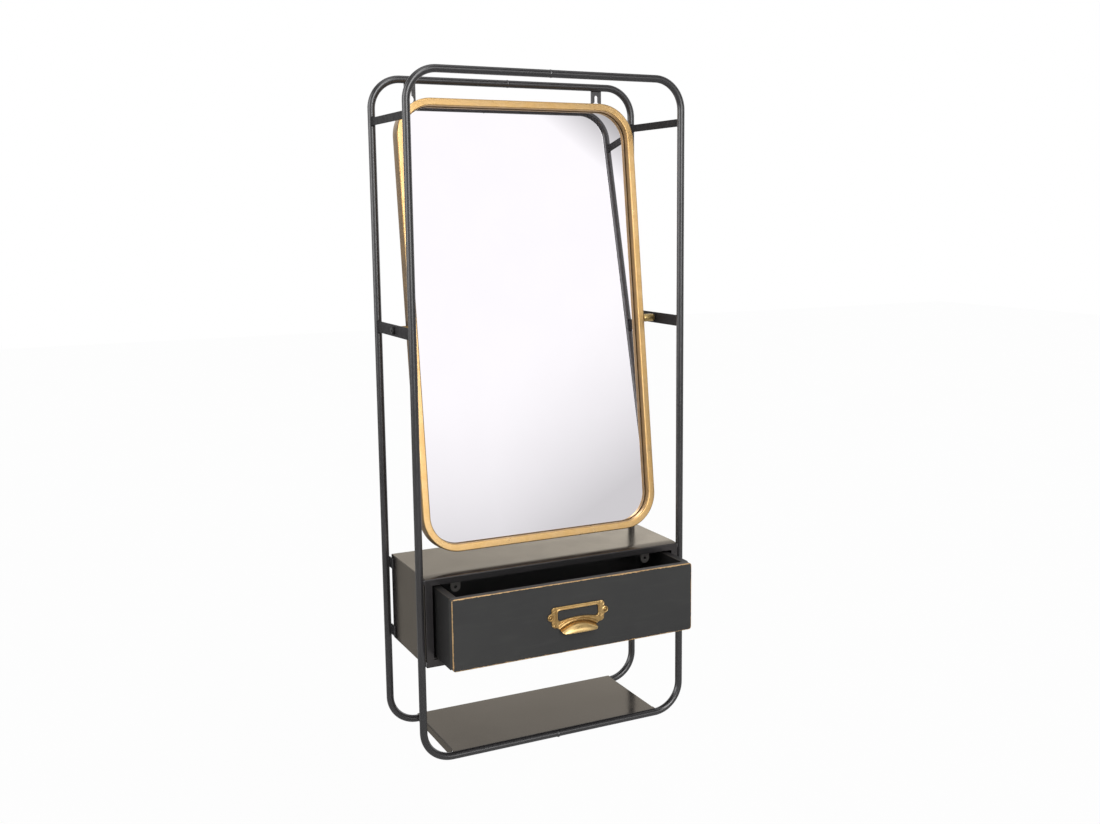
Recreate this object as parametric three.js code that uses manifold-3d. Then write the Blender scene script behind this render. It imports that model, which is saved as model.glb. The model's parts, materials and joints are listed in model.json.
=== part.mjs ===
// Wall mirror with a drawer: a tilting mirror in a double tube frame, over a sheet-metal cabinet with
// one drawer and an open shelf. Millimetres, +Z up, the front faces -Y and the wall is the plane y = 0.
// The origin lies on the wall, midway between the two screws that the frame hangs on.

import * as THREE from "three";
import { mergeVertices } from "three/addons/utils/BufferGeometryUtils.js";
import Module from "manifold-3d";

const wasm = await Module();
wasm.setup();

// ---- Driving dimensions ----------------------------------------------------------------------------

// Gap left between two pieces that touch, are welded or are screwed together
const seam = 0.3;

// Frame: a round-cornered tube loop at the wall and another in front of it
const frameWidth = 400;
const frameDepth = 150;
const frameHeight = 900;
const tubeDiameter = 10;
const bendRadius = 40; // of the tube's centre line
const weldLength = 2; // bead that closes a loop, half way along its top and its bottom
const weldRise = 0.5; // how far the bead stands proud of the tube

// Flat bars that join the two loops at each side
const barThickness = 3;
const spreaderHeight = 10;
const spreaderDrop = 61; // its middle, below the top of the frame
const pivotBarHeight = 15;

// Hanger plates with keyholes, under the top tube at the wall
const hangerInset = 15; // middle of a plate, inwards of the end of the straight tube
const hangerWidth = 16;
const hangerThickness = 2;
const hangerCorner = 5;
const hookDrop = 18; // the hanging screw, below the top of the frame
const slotWidth = 5;
const keyholeDiameter = 11;
const keyholeDrop = 12; // middle of the round hole, below the hanging screw
const keyholeCover = 4.5; // plate left below the round hole

// Open shelf on the bottom tubes
const shelfSheet = 1;
const shelfSetback = 3.2; // its edges, inwards of the outer faces of the tubes
const shelfFlange = 11; // ends turned down

// Cabinet of folded sheet, between the legs
const shelfRoom = 122.7; // open height between the shelf and the cabinet
const cabinetHeight = 120;
const cabinetSheet = 1.2;
const legClearance = 0.5;
const cabinetWallGap = 14; // from the wall to the back of the cabinet
const faceBorder = 10; // width of the rails and stiles round the drawer
const faceThickness = 1.5;
const tabHeight = 15; // spacer tabs between the cabinet and the rear legs
const tabThickness = 2;
const tabLength = 16;
const tabInset = 4; // from the top and bottom edges of the cabinet

// Drawer
const drawerPulled = 60; // how far it stands open
const drawerFloorGap = 2;
const drawerHeadGap = 3;
const drawerSideGap = 3.5;
const drawerRearGap = 4.8; // to the back of the cabinet, when shut
const drawerWall = 10;
const drawerCorner = 4; // corners of the drawer's front
const drawerEdge = 1; // rounding of the front's edges
const drawerPanel = 3; // thickness of the bottom
const drawerPanelRaise = 1;
const runnerSheet = 1.2;
const runnerFlange = 12;
const runnerLap = 8; // how far a runner reaches under the drawer's side

// Lugs that stop the drawer, behind the upper rail
const lugInset = 33; // middle of a lug, inwards of the drawer's outer side
const lugWidth = 14;
const lugThickness = 2;
const lugLength = 25.5;
const lugHole = 4;
const lugGap = 2; // behind the front of the shut drawer

// Drawer pull: a stamped card frame over a half-moon cup, drawn from the line of its two screws
const pullHeight = 50.5; // screws, above the underside of the drawer
const pullSheet = 1.6;
const pullTopHalf = 36;
const pullTopRise = 13.1;
const pullNotchHalf = 38.4;
const pullNotchRise = 7.1;
const pullTipHalf = 44.5;
const pullTipDrop = 1;
const pullLowHalf = 35;
const pullLowDrop = 13.5;
const pullFootHalf = 32.5;
const pullFootDrop = 16;
const pullScrewInset = 4.3; // inwards of the tip
const cardWidth = 58;
const cardRise = 8;
const cardDrop = 6.5;
const cardChamfer = 3;
const cupWidth = 58;
const cupDepth = 12.5;
const cupTopDrop = 7.8;
const cupFootDrop = 22.3;
const pullScrewHead = 5.6;
const pullScrewHeadRise = 1.6;
const pullScrewShank = 2.6;
const pullScrewLength = 8; // in the drawer's front

// Mirror: a rim of rectangular tube round the glass, which turns on two bolts
const mirrorTilt = 7; // degrees, top towards the wall
const mirrorFootroom = 17.3; // upright mirror, above the cabinet
const mirrorHeadroom = 28.7; // upright mirror, below the top of the frame
const pivotBelowMiddle = 2.3;
const pivotSetback = 5; // pivot, behind the front of the rim
const pivotGap = 18.5; // from a pivot bar to the rim
const rimFace = 10;
const rimDepth = 20;
const rimCorner = 50;
const rimEdge = 2.5;
const glassRecess = 10;
const glassThickness = 3;
const backboardThickness = 3;
const holdTabWidth = 20;
const holdTabReach = 14;
const holdTabThickness = 1.5;
const holdTabInset = 120; // from the corners of the rim, on the long sides

// Bolts, spacers and washers of the pivots
const boltDiameter = 5;
const boltClearance = 0.3; // round the shank
const boltTipCover = 2; // rim left beyond the tip of the bolt
const boltHead = 10.4;
const boltHeadRise = 2.8;
const boltSocket = 4; // across its corners
const boltSocketDepth = 1.5;
const spacerDiameter = 11;
const washerDiameter = 13;
const washerThickness = 1;

// Fineness of the round forms
const tubeSides = 16;
const bendSteps = 8;
const roundSteps = 20;
const cornerSegments = 6;

// ---- Positions that follow from them ---------------------------------------------------------------

const tubeRadius = tubeDiameter / 2;
const legX = frameWidth / 2 - tubeRadius;
const wallLoopY = -tubeRadius;
const frontLoopY = -frameDepth + tubeRadius;
const topTubeZ = frameHeight - tubeRadius;
const bottomTubeZ = tubeRadius;
const straightEndX = legX - bendRadius;
const barFrontY = frontLoopY + tubeRadius + seam;
const barBackY = wallLoopY - tubeRadius - seam;
const barInnerX = legX - barThickness / 2;

const shelfTopZ = tubeDiameter + seam + shelfSheet;

const cabinetBottomZ = shelfTopZ + shelfRoom;
const cabinetTopZ = cabinetBottomZ + cabinetHeight;
const cabinetX = frameWidth / 2 - tubeDiameter - legClearance;
const cabinetFrontY = -frameDepth;
const cabinetBackY = -cabinetWallGap;
const sheetInnerX = cabinetX - cabinetSheet;
const openingX = cabinetX - faceBorder;
const openingBottomZ = cabinetBottomZ + faceBorder;
const openingTopZ = cabinetTopZ - faceBorder;

const drawerX = openingX - drawerSideGap;
const drawerBottomZ = openingBottomZ + drawerFloorGap;
const drawerTopZ = openingTopZ - drawerHeadGap;
const drawerBackY = cabinetBackY - cabinetSheet - drawerRearGap;

const rimX = barInnerX - pivotGap;
const rimHeight = frameHeight - mirrorHeadroom - cabinetTopZ - mirrorFootroom;
const pivotZ = cabinetTopZ + mirrorFootroom + rimHeight / 2 - pivotBelowMiddle;
const pivotY = -frameDepth / 2;
const hookZ = frameHeight - hookDrop;

// ---- Finishes --------------------------------------------------------------------------------------

function finish(color, roughness, metalness) {
  return new THREE.MeshStandardMaterial({ color, roughness, metalness });
}

const darkPaint = finish(0x3e3e40, 0.45, 0.4);
const cabinetPaint = finish(0x45443f, 0.4, 0.4);
const drawerPaint = finish(0x3b3b3b, 0.6, 0.1);
const goldPaint = finish(0xd9a860, 0.4, 0.7);
const brass = finish(0xc49a4e, 0.35, 0.9);
const blackSteel = finish(0x232323, 0.5, 0.6);
const silvering = finish(0xe6e6ee, 0.05, 1);
const board = finish(0x6b5138, 0.8, 0);

// ---- Basic forms -----------------------------------------------------------------------------------

/** A box given by its lowest and highest place along each axis. */
function block([x0, x1], [y0, y1], [z0, z1]) {
  const geometry = new THREE.BoxGeometry(x1 - x0, y1 - y0, z1 - z0);
  geometry.translate((x0 + x1) / 2, (y0 + y1) / 2, (z0 + z1) / 2);
  return geometry;
}

/** A rectangle with round corners, centred on its origin: an outline, or a hole if Kind is THREE.Path. */
function roundedRectangle(width, height, radius, Kind = THREE.Shape) {
  const x = width / 2 - radius;
  const y = height / 2 - radius;
  const outline = new Kind();
  outline.absarc(x, y, radius, 0, Math.PI / 2);
  outline.absarc(-x, y, radius, Math.PI / 2, Math.PI);
  outline.absarc(-x, -y, radius, Math.PI, 1.5 * Math.PI);
  outline.absarc(x, -y, radius, 1.5 * Math.PI, 2 * Math.PI);
  outline.closePath();
  return outline;
}

/** A round hole in an outline. */
function roundHole(x, y, radius) {
  return new THREE.Path().absarc(x, y, radius, 0, 2 * Math.PI);
}

/** A front view, drawn in X and Z, given a thickness from y = back towards the viewer. */
function fromFront(shape, back, thickness, edge = 0) {
  const geometry = new THREE.ExtrudeGeometry(shape, {
    depth: thickness - 2 * edge,
    curveSegments: cornerSegments,
    bevelEnabled: edge > 0,
    bevelThickness: edge,
    bevelSize: edge,
    bevelSegments: 3,
  });
  geometry.rotateX(Math.PI / 2);
  geometry.translate(0, back - edge, 0);
  return geometry;
}

/** A side view, drawn in Y and Z, given a thickness from x = start to the right. */
function fromSide(shape, start, thickness) {
  const geometry = new THREE.ExtrudeGeometry(shape, {
    depth: thickness,
    curveSegments: cornerSegments,
    bevelEnabled: false,
  });
  const [alongX, alongY, alongZ] = [
    new THREE.Vector3(1, 0, 0),
    new THREE.Vector3(0, 1, 0),
    new THREE.Vector3(0, 0, 1),
  ];
  geometry.applyMatrix4(new THREE.Matrix4().makeBasis(alongY, alongZ, alongX));
  geometry.translate(start, 0, 0);
  return geometry;
}

/** A turned form about an axis along X, from a profile of [x, radius] points with its axis side last. */
function turned(profile) {
  const points = profile.map(([x, radius]) => new THREE.Vector2(radius, x));
  const geometry = new THREE.LatheGeometry(points, roundSteps);
  geometry.rotateZ(-Math.PI / 2);
  return geometry;
}

/** A plain round pin along X. */
function pin(x0, x1, radius) {
  return turned([[x0, 0], [x0, radius], [x1, radius], [x1, 0]]);
}

/** A round ring along X. */
function ring(x0, x1, outer, inner) {
  return turned([[x0, inner], [x0, outer], [x1, outer], [x1, inner], [x0, inner]]);
}

// ---- Cuts and joins --------------------------------------------------------------------------------

function toSolid(geometry) {
  const bare = geometry.clone();
  bare.deleteAttribute("normal");
  bare.deleteAttribute("uv");
  const merged = mergeVertices(bare);
  return new wasm.Manifold(
    new wasm.Mesh({
      numProp: 3,
      vertProperties: merged.attributes.position.array,
      triVerts: new Uint32Array(merged.index.array),
    }),
  );
}

function toGeometry(solid) {
  const mesh = solid.getMesh();
  const geometry = new THREE.BufferGeometry();
  geometry.setAttribute("position", new THREE.BufferAttribute(mesh.vertProperties, 3));
  geometry.setIndex(new THREE.BufferAttribute(mesh.triVerts, 1));
  geometry.computeVertexNormals();
  return geometry;
}

function join(...geometries) {
  return toGeometry(geometries.map(toSolid).reduce((whole, next) => whole.add(next)));
}

function cut(geometry, ...tools) {
  return toGeometry(tools.map(toSolid).reduce((rest, tool) => rest.subtract(tool), toSolid(geometry)));
}

// ---- The assembly's groups -------------------------------------------------------------------------

const wallMirror = new THREE.Group();

// Heights are drawn from the bottom of the frame, and the whole is lowered to put the hooks at z = 0
const unit = new THREE.Group();
unit.position.z = -hookZ;
wallMirror.add(unit);

const mirror = new THREE.Group();
mirror.position.set(0, pivotY, pivotZ);
mirror.rotation.x = THREE.MathUtils.degToRad(-mirrorTilt);
unit.add(mirror);

const drawer = new THREE.Group();
drawer.position.y = -drawerPulled;
unit.add(drawer);

function addPiece(group, name, geometry, material) {
  const mesh = new THREE.Mesh(geometry, material);
  mesh.name = name;
  group.add(mesh);
  return mesh;
}

/** Adds a right-hand piece and its mirror image on the left. */
function addPair(group, name, geometry, material) {
  addPiece(group, `${name}_right`, geometry, material);
  addPiece(group, `${name}_left`, geometry, material).scale.x = -1;
}

// ---- Frame -----------------------------------------------------------------------------------------

/** A tube's path by its stations: close together round a bend, with nothing between along a straight. */
class StationPath extends THREE.Curve {
  constructor(stations) {
    super();
    this.stations = stations;
  }

  stationAt(u) {
    return this.stations[Math.round(u * (this.stations.length - 1))];
  }

  getPointAt(u, target = new THREE.Vector3()) {
    return target.copy(this.stationAt(u).point);
  }

  getTangentAt(u, target = new THREE.Vector3()) {
    return target.copy(this.stationAt(u).tangent);
  }
}

/** A regular outline whose flat sides lie as far out as the round tube does. */
function tubeSection() {
  const corner = tubeRadius / Math.cos(Math.PI / tubeSides);
  const points = [];
  for (let i = 0; i < tubeSides; i += 1) {
    const angle = ((i + 0.5) * 2 * Math.PI) / tubeSides;
    points.push(new THREE.Vector2(corner * Math.cos(angle), corner * Math.sin(angle)));
  }
  return new THREE.Shape(points);
}

/** The right half of a loop: half of the top, a leg and half of the bottom, bent from one tube. */
function loopHalf(y) {
  const endX = weldLength / 2 + seam;
  const stations = [];
  const addStation = (x, z, alongX, alongZ) =>
    stations.push({
      point: new THREE.Vector3(x, y, z),
      tangent: new THREE.Vector3(alongX, 0, alongZ),
    });
  const addBend = (centreZ, fromAngle) => {
    for (let i = 0; i <= bendSteps; i += 1) {
      const angle = fromAngle - (i * Math.PI) / 2 / bendSteps;
      const [across, up] = [Math.cos(angle), Math.sin(angle)];
      addStation(straightEndX + bendRadius * across, centreZ + bendRadius * up, up, -across);
    }
  };
  addStation(endX, topTubeZ, 1, 0);
  addBend(topTubeZ - bendRadius, Math.PI / 2);
  addBend(bottomTubeZ + bendRadius, 0);
  addStation(endX, bottomTubeZ, -1, 0);
  return new THREE.ExtrudeGeometry(tubeSection(), {
    steps: stations.length - 1,
    extrudePath: new StationPath(stations),
  });
}

/** The bead between the two halves of a loop. */
function weldBead() {
  const half = weldLength / 2;
  const outer = tubeRadius + weldRise;
  return turned([
    [-half, 0],
    [-half, tubeRadius],
    [-half / 2, outer],
    [half / 2, outer],
    [half, tubeRadius],
    [half, 0],
  ]);
}

addPair(unit, "front_loop", loopHalf(frontLoopY), darkPaint);
addPair(unit, "wall_loop", loopHalf(wallLoopY), darkPaint);

// The beads are ground level where the wall or the shelf lies against the tube
const groundWallY = wallLoopY - weldRise;
const groundShelfZ = bottomTubeZ - weldRise;
addPiece(unit, "front_weld_top", weldBead(), darkPaint).position.set(0, frontLoopY, topTubeZ);
addPiece(unit, "front_weld_bottom", weldBead(), darkPaint).position.set(0, frontLoopY, groundShelfZ);
addPiece(unit, "wall_weld_top", weldBead(), darkPaint).position.set(0, groundWallY, topTubeZ);
addPiece(unit, "wall_weld_bottom", weldBead(), darkPaint).position.set(0, groundWallY, groundShelfZ);

// ---- Bars between the loops ------------------------------------------------------------------------

/** A flat bar on edge between the front and rear legs, as a side view. */
function barOutline(middleZ, height) {
  const low = middleZ - height / 2;
  const high = middleZ + height / 2;
  return new THREE.Shape([
    new THREE.Vector2(barFrontY, low),
    new THREE.Vector2(barBackY, low),
    new THREE.Vector2(barBackY, high),
    new THREE.Vector2(barFrontY, high),
  ]);
}

function pivotBar() {
  const outline = barOutline(pivotZ, pivotBarHeight);
  outline.holes.push(roundHole(pivotY, pivotZ, boltDiameter / 2 + boltClearance));
  return fromSide(outline, barInnerX, barThickness);
}

const spreaderZ = frameHeight - spreaderDrop;
const spreader = fromSide(barOutline(spreaderZ, spreaderHeight), barInnerX, barThickness);
addPair(unit, "upper_spreader", spreader, darkPaint);
addPair(unit, "pivot_bar", pivotBar(), darkPaint);

// ---- Hanger plates ---------------------------------------------------------------------------------

/** The plate seats against the underside of the tube, flush with its wall side. */
function hangerPlate() {
  const fromTubeMiddle = tubeRadius - hangerThickness;
  const topZ = topTubeZ - Math.sqrt(tubeRadius ** 2 - fromTubeMiddle ** 2) - seam;
  const holeZ = hookZ - keyholeDrop;
  const bottomZ = holeZ - keyholeDiameter / 2 - keyholeCover;
  const half = hangerWidth / 2;
  const middleX = straightEndX - hangerInset;

  const outline = new THREE.Shape();
  outline.moveTo(half, topZ);
  outline.lineTo(-half, topZ);
  outline.absarc(-half + hangerCorner, bottomZ + hangerCorner, hangerCorner, Math.PI, 1.5 * Math.PI);
  outline.absarc(half - hangerCorner, bottomZ + hangerCorner, hangerCorner, 1.5 * Math.PI, 2 * Math.PI);
  outline.closePath();

  const slotHalf = slotWidth / 2;
  const holeRadius = keyholeDiameter / 2;
  const mouth = Math.asin(slotHalf / holeRadius);
  const keyhole = new THREE.Path();
  keyhole.absarc(0, holeZ, holeRadius, Math.PI / 2 + mouth, 2.5 * Math.PI - mouth);
  keyhole.absarc(0, hookZ, slotHalf, 0, Math.PI);
  keyhole.closePath();
  outline.holes.push(keyhole);

  return fromFront(outline, 0, hangerThickness).translate(middleX, 0, 0);
}

addPair(unit, "hanger_plate", hangerPlate(), darkPaint);

// ---- Shelf -----------------------------------------------------------------------------------------

function shelf() {
  const under = shelfTopZ - shelfSheet;
  const sheet = block(
    [-straightEndX, straightEndX],
    [-frameDepth + shelfSetback, -shelfSetback],
    [under, shelfTopZ],
  );
  const between = [barFrontY, barBackY];
  const heights = [shelfTopZ - shelfFlange, under + shelfSheet / 2];
  const leftEnd = block([-straightEndX, -straightEndX + shelfSheet], between, heights);
  const rightEnd = block([straightEndX - shelfSheet, straightEndX], between, heights);
  return join(sheet, leftEnd, rightEnd);
}

addPiece(unit, "shelf", shelf(), cabinetPaint);

// ---- Cabinet ---------------------------------------------------------------------------------------

const cabinetPlanX = [-cabinetX, cabinetX];
const cabinetPlanY = [cabinetFrontY, cabinetBackY];
const cabinetInnerZ = [cabinetBottomZ + cabinetSheet + seam, cabinetTopZ - cabinetSheet - seam];
const cabinetBehindFaceY = cabinetFrontY + faceThickness + seam;
const cabinetBackFrontY = cabinetBackY - cabinetSheet;
const betweenSidesX = [-sheetInnerX + seam, sheetInnerX - seam];

function cabinetSide() {
  return block([sheetInnerX, cabinetX], cabinetPlanY, cabinetInnerZ);
}

/** A rail fills the height between the top or bottom sheet and the drawer's opening. */
function faceRail(z0, z1) {
  return block(betweenSidesX, [cabinetFrontY, cabinetFrontY + faceThickness], [z0, z1]);
}

function faceStile() {
  return block(
    [openingX, sheetInnerX - seam],
    [cabinetFrontY, cabinetFrontY + faceThickness],
    [openingBottomZ + seam, openingTopZ - seam],
  );
}

/** A tab on the outside of the cabinet that reaches back to the rear leg. */
function spacerTab(z0) {
  const x0 = cabinetX + seam;
  const x1 = x0 + tabThickness;
  const fromLegMiddle = Math.max(legX - x1, 0);
  const legFrontY = wallLoopY - Math.sqrt(tubeRadius ** 2 - fromLegMiddle ** 2);
  const backY = legFrontY - seam;
  return block([x0, x1], [backY - tabLength, backY], [z0, z0 + tabHeight]);
}

/** An angle along the cabinet's side, whose flat flange carries the drawer's side. */
function runner() {
  const topZ = drawerBottomZ - seam;
  const outerX = sheetInnerX - seam;
  const along = [cabinetBehindFaceY, cabinetBackFrontY - seam];
  const floor = block([drawerX - runnerLap, outerX], along, [topZ - runnerSheet, topZ]);
  const wall = block([outerX - runnerSheet, outerX], along, [topZ - runnerSheet, topZ + runnerFlange]);
  return join(floor, wall);
}

/** A lug with a round end, hung from the cabinet's top just behind the shut drawer's front. */
function stopLug() {
  const radius = lugWidth / 2;
  const topZ = cabinetInnerZ[1];
  const roundZ = topZ - lugLength + radius;
  const outline = new THREE.Shape();
  outline.moveTo(radius, topZ);
  outline.lineTo(-radius, topZ);
  outline.absarc(0, roundZ, radius, Math.PI, 2 * Math.PI);
  outline.closePath();
  outline.holes.push(roundHole(0, roundZ, lugHole / 2));
  const backY = cabinetFrontY + drawerWall + lugGap + lugThickness;
  return fromFront(outline, backY, lugThickness).translate(drawerX - lugInset, 0, 0);
}

addPiece(
  unit,
  "cabinet_top",
  block(cabinetPlanX, cabinetPlanY, [cabinetTopZ - cabinetSheet, cabinetTopZ]),
  cabinetPaint,
);
addPiece(
  unit,
  "cabinet_bottom",
  block(cabinetPlanX, cabinetPlanY, [cabinetBottomZ, cabinetBottomZ + cabinetSheet]),
  cabinetPaint,
);
addPair(unit, "cabinet_side", cabinetSide(), cabinetPaint);
addPiece(
  unit,
  "cabinet_back",
  block(betweenSidesX, [cabinetBackFrontY, cabinetBackY], cabinetInnerZ),
  cabinetPaint,
);
addPiece(unit, "face_rail_top", faceRail(openingTopZ, cabinetInnerZ[1]), cabinetPaint);
addPiece(unit, "face_rail_bottom", faceRail(cabinetInnerZ[0], openingBottomZ), cabinetPaint);
addPair(unit, "face_stile", faceStile(), cabinetPaint);
addPair(unit, "spacer_tab_top", spacerTab(cabinetTopZ - tabInset - tabHeight), darkPaint);
addPair(unit, "spacer_tab_bottom", spacerTab(cabinetBottomZ + tabInset), darkPaint);
addPair(unit, "drawer_runner", runner(), cabinetPaint);
addPair(unit, "stop_lug", stopLug(), cabinetPaint);

// ---- Drawer, drawn shut ----------------------------------------------------------------------------

const drawerFrontBackY = cabinetFrontY + drawerWall;
const drawerRearFrontY = drawerBackY - drawerWall;
const drawerInnerX = drawerX - drawerWall;
const drawerHeight = drawerTopZ - drawerBottomZ;
const screwX = pullTipHalf - pullScrewInset;
const screwZ = drawerBottomZ + pullHeight;
const shankHole = pullScrewShank / 2 + boltClearance;

function drawerFront() {
  const middleZ = (drawerBottomZ + drawerTopZ) / 2;
  const inset = 2 * drawerEdge;
  const outline = roundedRectangle(2 * drawerX - inset, drawerHeight - inset, drawerCorner - drawerEdge);
  for (const x of [-screwX, screwX]) {
    outline.holes.push(roundHole(x, screwZ - middleZ, shankHole + drawerEdge));
  }
  return fromFront(outline, drawerFrontBackY, drawerWall, drawerEdge).translate(0, 0, middleZ);
}

const drawerHeights = [drawerBottomZ, drawerTopZ];
addPiece(drawer, "drawer_front", drawerFront(), drawerPaint);
addPair(
  drawer,
  "drawer_side",
  block([drawerInnerX, drawerX], [drawerFrontBackY + seam, drawerBackY], drawerHeights),
  drawerPaint,
);
addPiece(
  drawer,
  "drawer_back",
  block([-drawerInnerX + seam, drawerInnerX - seam], [drawerRearFrontY, drawerBackY], drawerHeights),
  drawerPaint,
);
addPiece(
  drawer,
  "drawer_bottom",
  block(
    [-drawerInnerX + seam, drawerInnerX - seam],
    [drawerFrontBackY + seam, drawerRearFrontY - seam],
    [drawerBottomZ + drawerPanelRaise, drawerBottomZ + drawerPanelRaise + drawerPanel],
  ),
  drawerPaint,
);

// ---- Drawer pull -----------------------------------------------------------------------------------

/** The flat of the pull: shaped ears for the screws, and a window for a card with its corners cut. */
function pullPlate(back) {
  const rightEdge = [
    [pullTopHalf, pullTopRise],
    [pullNotchHalf, pullNotchRise],
    [pullTipHalf, -pullTipDrop],
    [pullLowHalf, -pullLowDrop],
    [pullFootHalf, -pullFootDrop],
  ];
  const leftEdge = rightEdge.map(([x, z]) => [-x, z]).reverse();
  const outline = new THREE.Shape([...rightEdge, ...leftEdge].map(([x, z]) => new THREE.Vector2(x, z)));

  const half = cardWidth / 2;
  const windowEdge = [
    [half, cardRise - cardChamfer],
    [half - cardChamfer, cardRise],
    [-half + cardChamfer, cardRise],
    [-half, cardRise - cardChamfer],
    [-half, -cardDrop + cardChamfer],
    [-half + cardChamfer, -cardDrop],
    [half - cardChamfer, -cardDrop],
    [half, -cardDrop + cardChamfer],
  ];
  outline.holes.push(new THREE.Path(windowEdge.map(([x, z]) => new THREE.Vector2(x, z))));
  for (const x of [-screwX, screwX]) {
    outline.holes.push(roundHole(x, 0, shankHole));
  }
  return fromFront(outline, back, pullSheet);
}

/** Half of the cup's bulge, as a ball stretched to its width, depth and height. */
function cupBulge(back, wall) {
  const height = cupFootDrop - cupTopDrop;
  const ball = new THREE.SphereGeometry(1, 32, 16);
  ball.scale(cupWidth / 2 - wall, cupDepth - wall, height - wall);
  return ball.translate(0, back, -cupFootDrop);
}

function drawerPull() {
  const back = cabinetFrontY - seam;
  const reach = 2 * (cupWidth + cupFootDrop);
  const behind = block([-reach, reach], [back, back + reach], [-reach, reach]);
  const below = block([-reach, reach], [back - reach, back + reach], [-reach, -cupFootDrop]);
  const body = join(pullPlate(back), cupBulge(back, 0));
  return cut(body, cupBulge(back, pullSheet), behind, below).translate(0, 0, screwZ);
}

/** A screw from the front: a domed head on the pull and a shank into the drawer's front. */
function pullScrew() {
  const headRadius = pullScrewHead / 2;
  const shank = pullScrewShank / 2;
  const headBack = cabinetFrontY - seam - pullSheet - seam;
  const tip = cabinetFrontY + pullScrewLength;
  const profile = [
    [tip, 0],
    [tip, shank],
    [headBack, shank],
    [headBack, headRadius],
    [headBack - pullScrewHeadRise / 2, headRadius],
    [headBack - pullScrewHeadRise, headRadius / 2],
    [headBack - pullScrewHeadRise, 0],
  ];
  return turned(profile.reverse()).rotateZ(Math.PI / 2).translate(screwX, 0, screwZ);
}

addPiece(drawer, "drawer_pull", drawerPull(), goldPaint);
addPair(drawer, "pull_screw", pullScrew(), goldPaint);

// ---- Mirror, drawn upright with its pivot axis along X through the origin --------------------------

const rimFrontY = -pivotSetback;
const rimBackY = rimFrontY + rimDepth;
const rimMiddleZ = pivotBelowMiddle;
const rimInnerX = rimX - rimFace;
const rimInnerHeight = rimHeight - 2 * rimFace;
const boltTipX = rimInnerX + boltTipCover;
const boltHoleRadius = boltDiameter / 2 + boltClearance;

/** The rim's tube bent into a round-cornered rectangle, with a hole in each side for its bolt. */
function mirrorRim() {
  const inset = 2 * rimEdge;
  const outline = roundedRectangle(2 * rimX - inset, rimHeight - inset, rimCorner - rimEdge);
  outline.holes.push(
    roundedRectangle(
      2 * rimInnerX + inset,
      rimInnerHeight + inset,
      rimCorner - rimFace + rimEdge,
      THREE.Path,
    ),
  );
  const rim = fromFront(outline, rimBackY, rimDepth, rimEdge).translate(0, 0, rimMiddleZ);
  const holeFrom = boltTipX - seam;
  const holeTo = rimX + seam;
  return cut(rim, pin(holeFrom, holeTo, boltHoleRadius), pin(-holeTo, -holeFrom, boltHoleRadius));
}

/** A sheet that fills the rim, with its front face a given depth behind the front of the rim. */
function rimFilling(depth, thickness) {
  const outline = roundedRectangle(
    2 * (rimInnerX - seam),
    rimInnerHeight - 2 * seam,
    rimCorner - rimFace - seam,
  );
  return fromFront(outline, rimFrontY + depth + thickness, thickness).translate(0, 0, rimMiddleZ);
}

const backboardDepth = glassRecess + glassThickness + seam;
const holdTabY = rimFrontY + backboardDepth + backboardThickness + seam;
const holdTabDepths = [holdTabY, holdTabY + holdTabThickness];

/** A tab on the inside of a long side of the rim, behind the backboard. */
function sideTab(z) {
  const innerX = rimInnerX - seam;
  const half = holdTabWidth / 2;
  return block([innerX - holdTabReach, innerX], holdTabDepths, [z - half, z + half]);
}

/** A tab on the inside of the rim's top or bottom. */
function endTab(z, inwards) {
  const half = holdTabWidth / 2;
  const ends = [z, z + inwards * holdTabReach].sort((a, b) => a - b);
  return block([-half, half], holdTabDepths, ends);
}

const rimInnerTopZ = rimMiddleZ + rimInnerHeight / 2 - seam;
const rimInnerBottomZ = rimMiddleZ - rimInnerHeight / 2 + seam;
addPiece(mirror, "mirror_rim", mirrorRim(), goldPaint);
addPiece(mirror, "mirror_glass", rimFilling(glassRecess, glassThickness), silvering);
addPiece(mirror, "mirror_backboard", rimFilling(backboardDepth, backboardThickness), board);
addPair(mirror, "hold_tab_upper", sideTab(rimInnerTopZ - holdTabInset), blackSteel);
addPair(mirror, "hold_tab_lower", sideTab(rimInnerBottomZ + holdTabInset), blackSteel);
addPiece(mirror, "hold_tab_top", endTab(rimInnerTopZ, -1), blackSteel);
addPiece(mirror, "hold_tab_bottom", endTab(rimInnerBottomZ, 1), blackSteel);

// ---- Pivots ----------------------------------------------------------------------------------------

/** A low socket-head bolt from outside the pivot bar, through it and into the rim. */
function pivotBolt() {
  const headX = barInnerX + barThickness + seam;
  const headEnd = headX + boltHeadRise;
  const shank = boltDiameter / 2;
  const head = boltHead / 2;
  const edge = boltHeadRise / 4;
  const bolt = turned([
    [boltTipX, 0],
    [boltTipX, shank],
    [headX, shank],
    [headX, head],
    [headEnd - edge, head],
    [headEnd, head - edge],
    [headEnd, 0],
  ]);
  const socket = new THREE.CylinderGeometry(boltSocket / 2, boltSocket / 2, 2 * boltSocketDepth, 6);
  socket.rotateZ(Math.PI / 2);
  socket.translate(headEnd, 0, 0);
  return cut(bolt, socket);
}

const washerX = barInnerX - seam - washerThickness;
addPair(mirror, "pivot_bolt", pivotBolt(), blackSteel);
addPair(
  mirror,
  "pivot_washer",
  ring(washerX, washerX + washerThickness, washerDiameter / 2, boltHoleRadius),
  blackSteel,
);
addPair(
  mirror,
  "pivot_spacer",
  ring(rimX + seam, washerX - seam, spacerDiameter / 2, boltHoleRadius),
  brass,
);

export default wallMirror;
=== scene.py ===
"""Looks of a wall mirror with a drawer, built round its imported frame.

Metres, +Z up, X to the viewer's right; the front faces -Y and the wall is the plane y = 0.
"""

import json
from functools import reduce
from math import asin, ceil, cos, hypot, pi, radians, sin, sqrt

import bmesh
import bpy
import numpy as np
from mathutils import Matrix, Vector, geometry, noise


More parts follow.
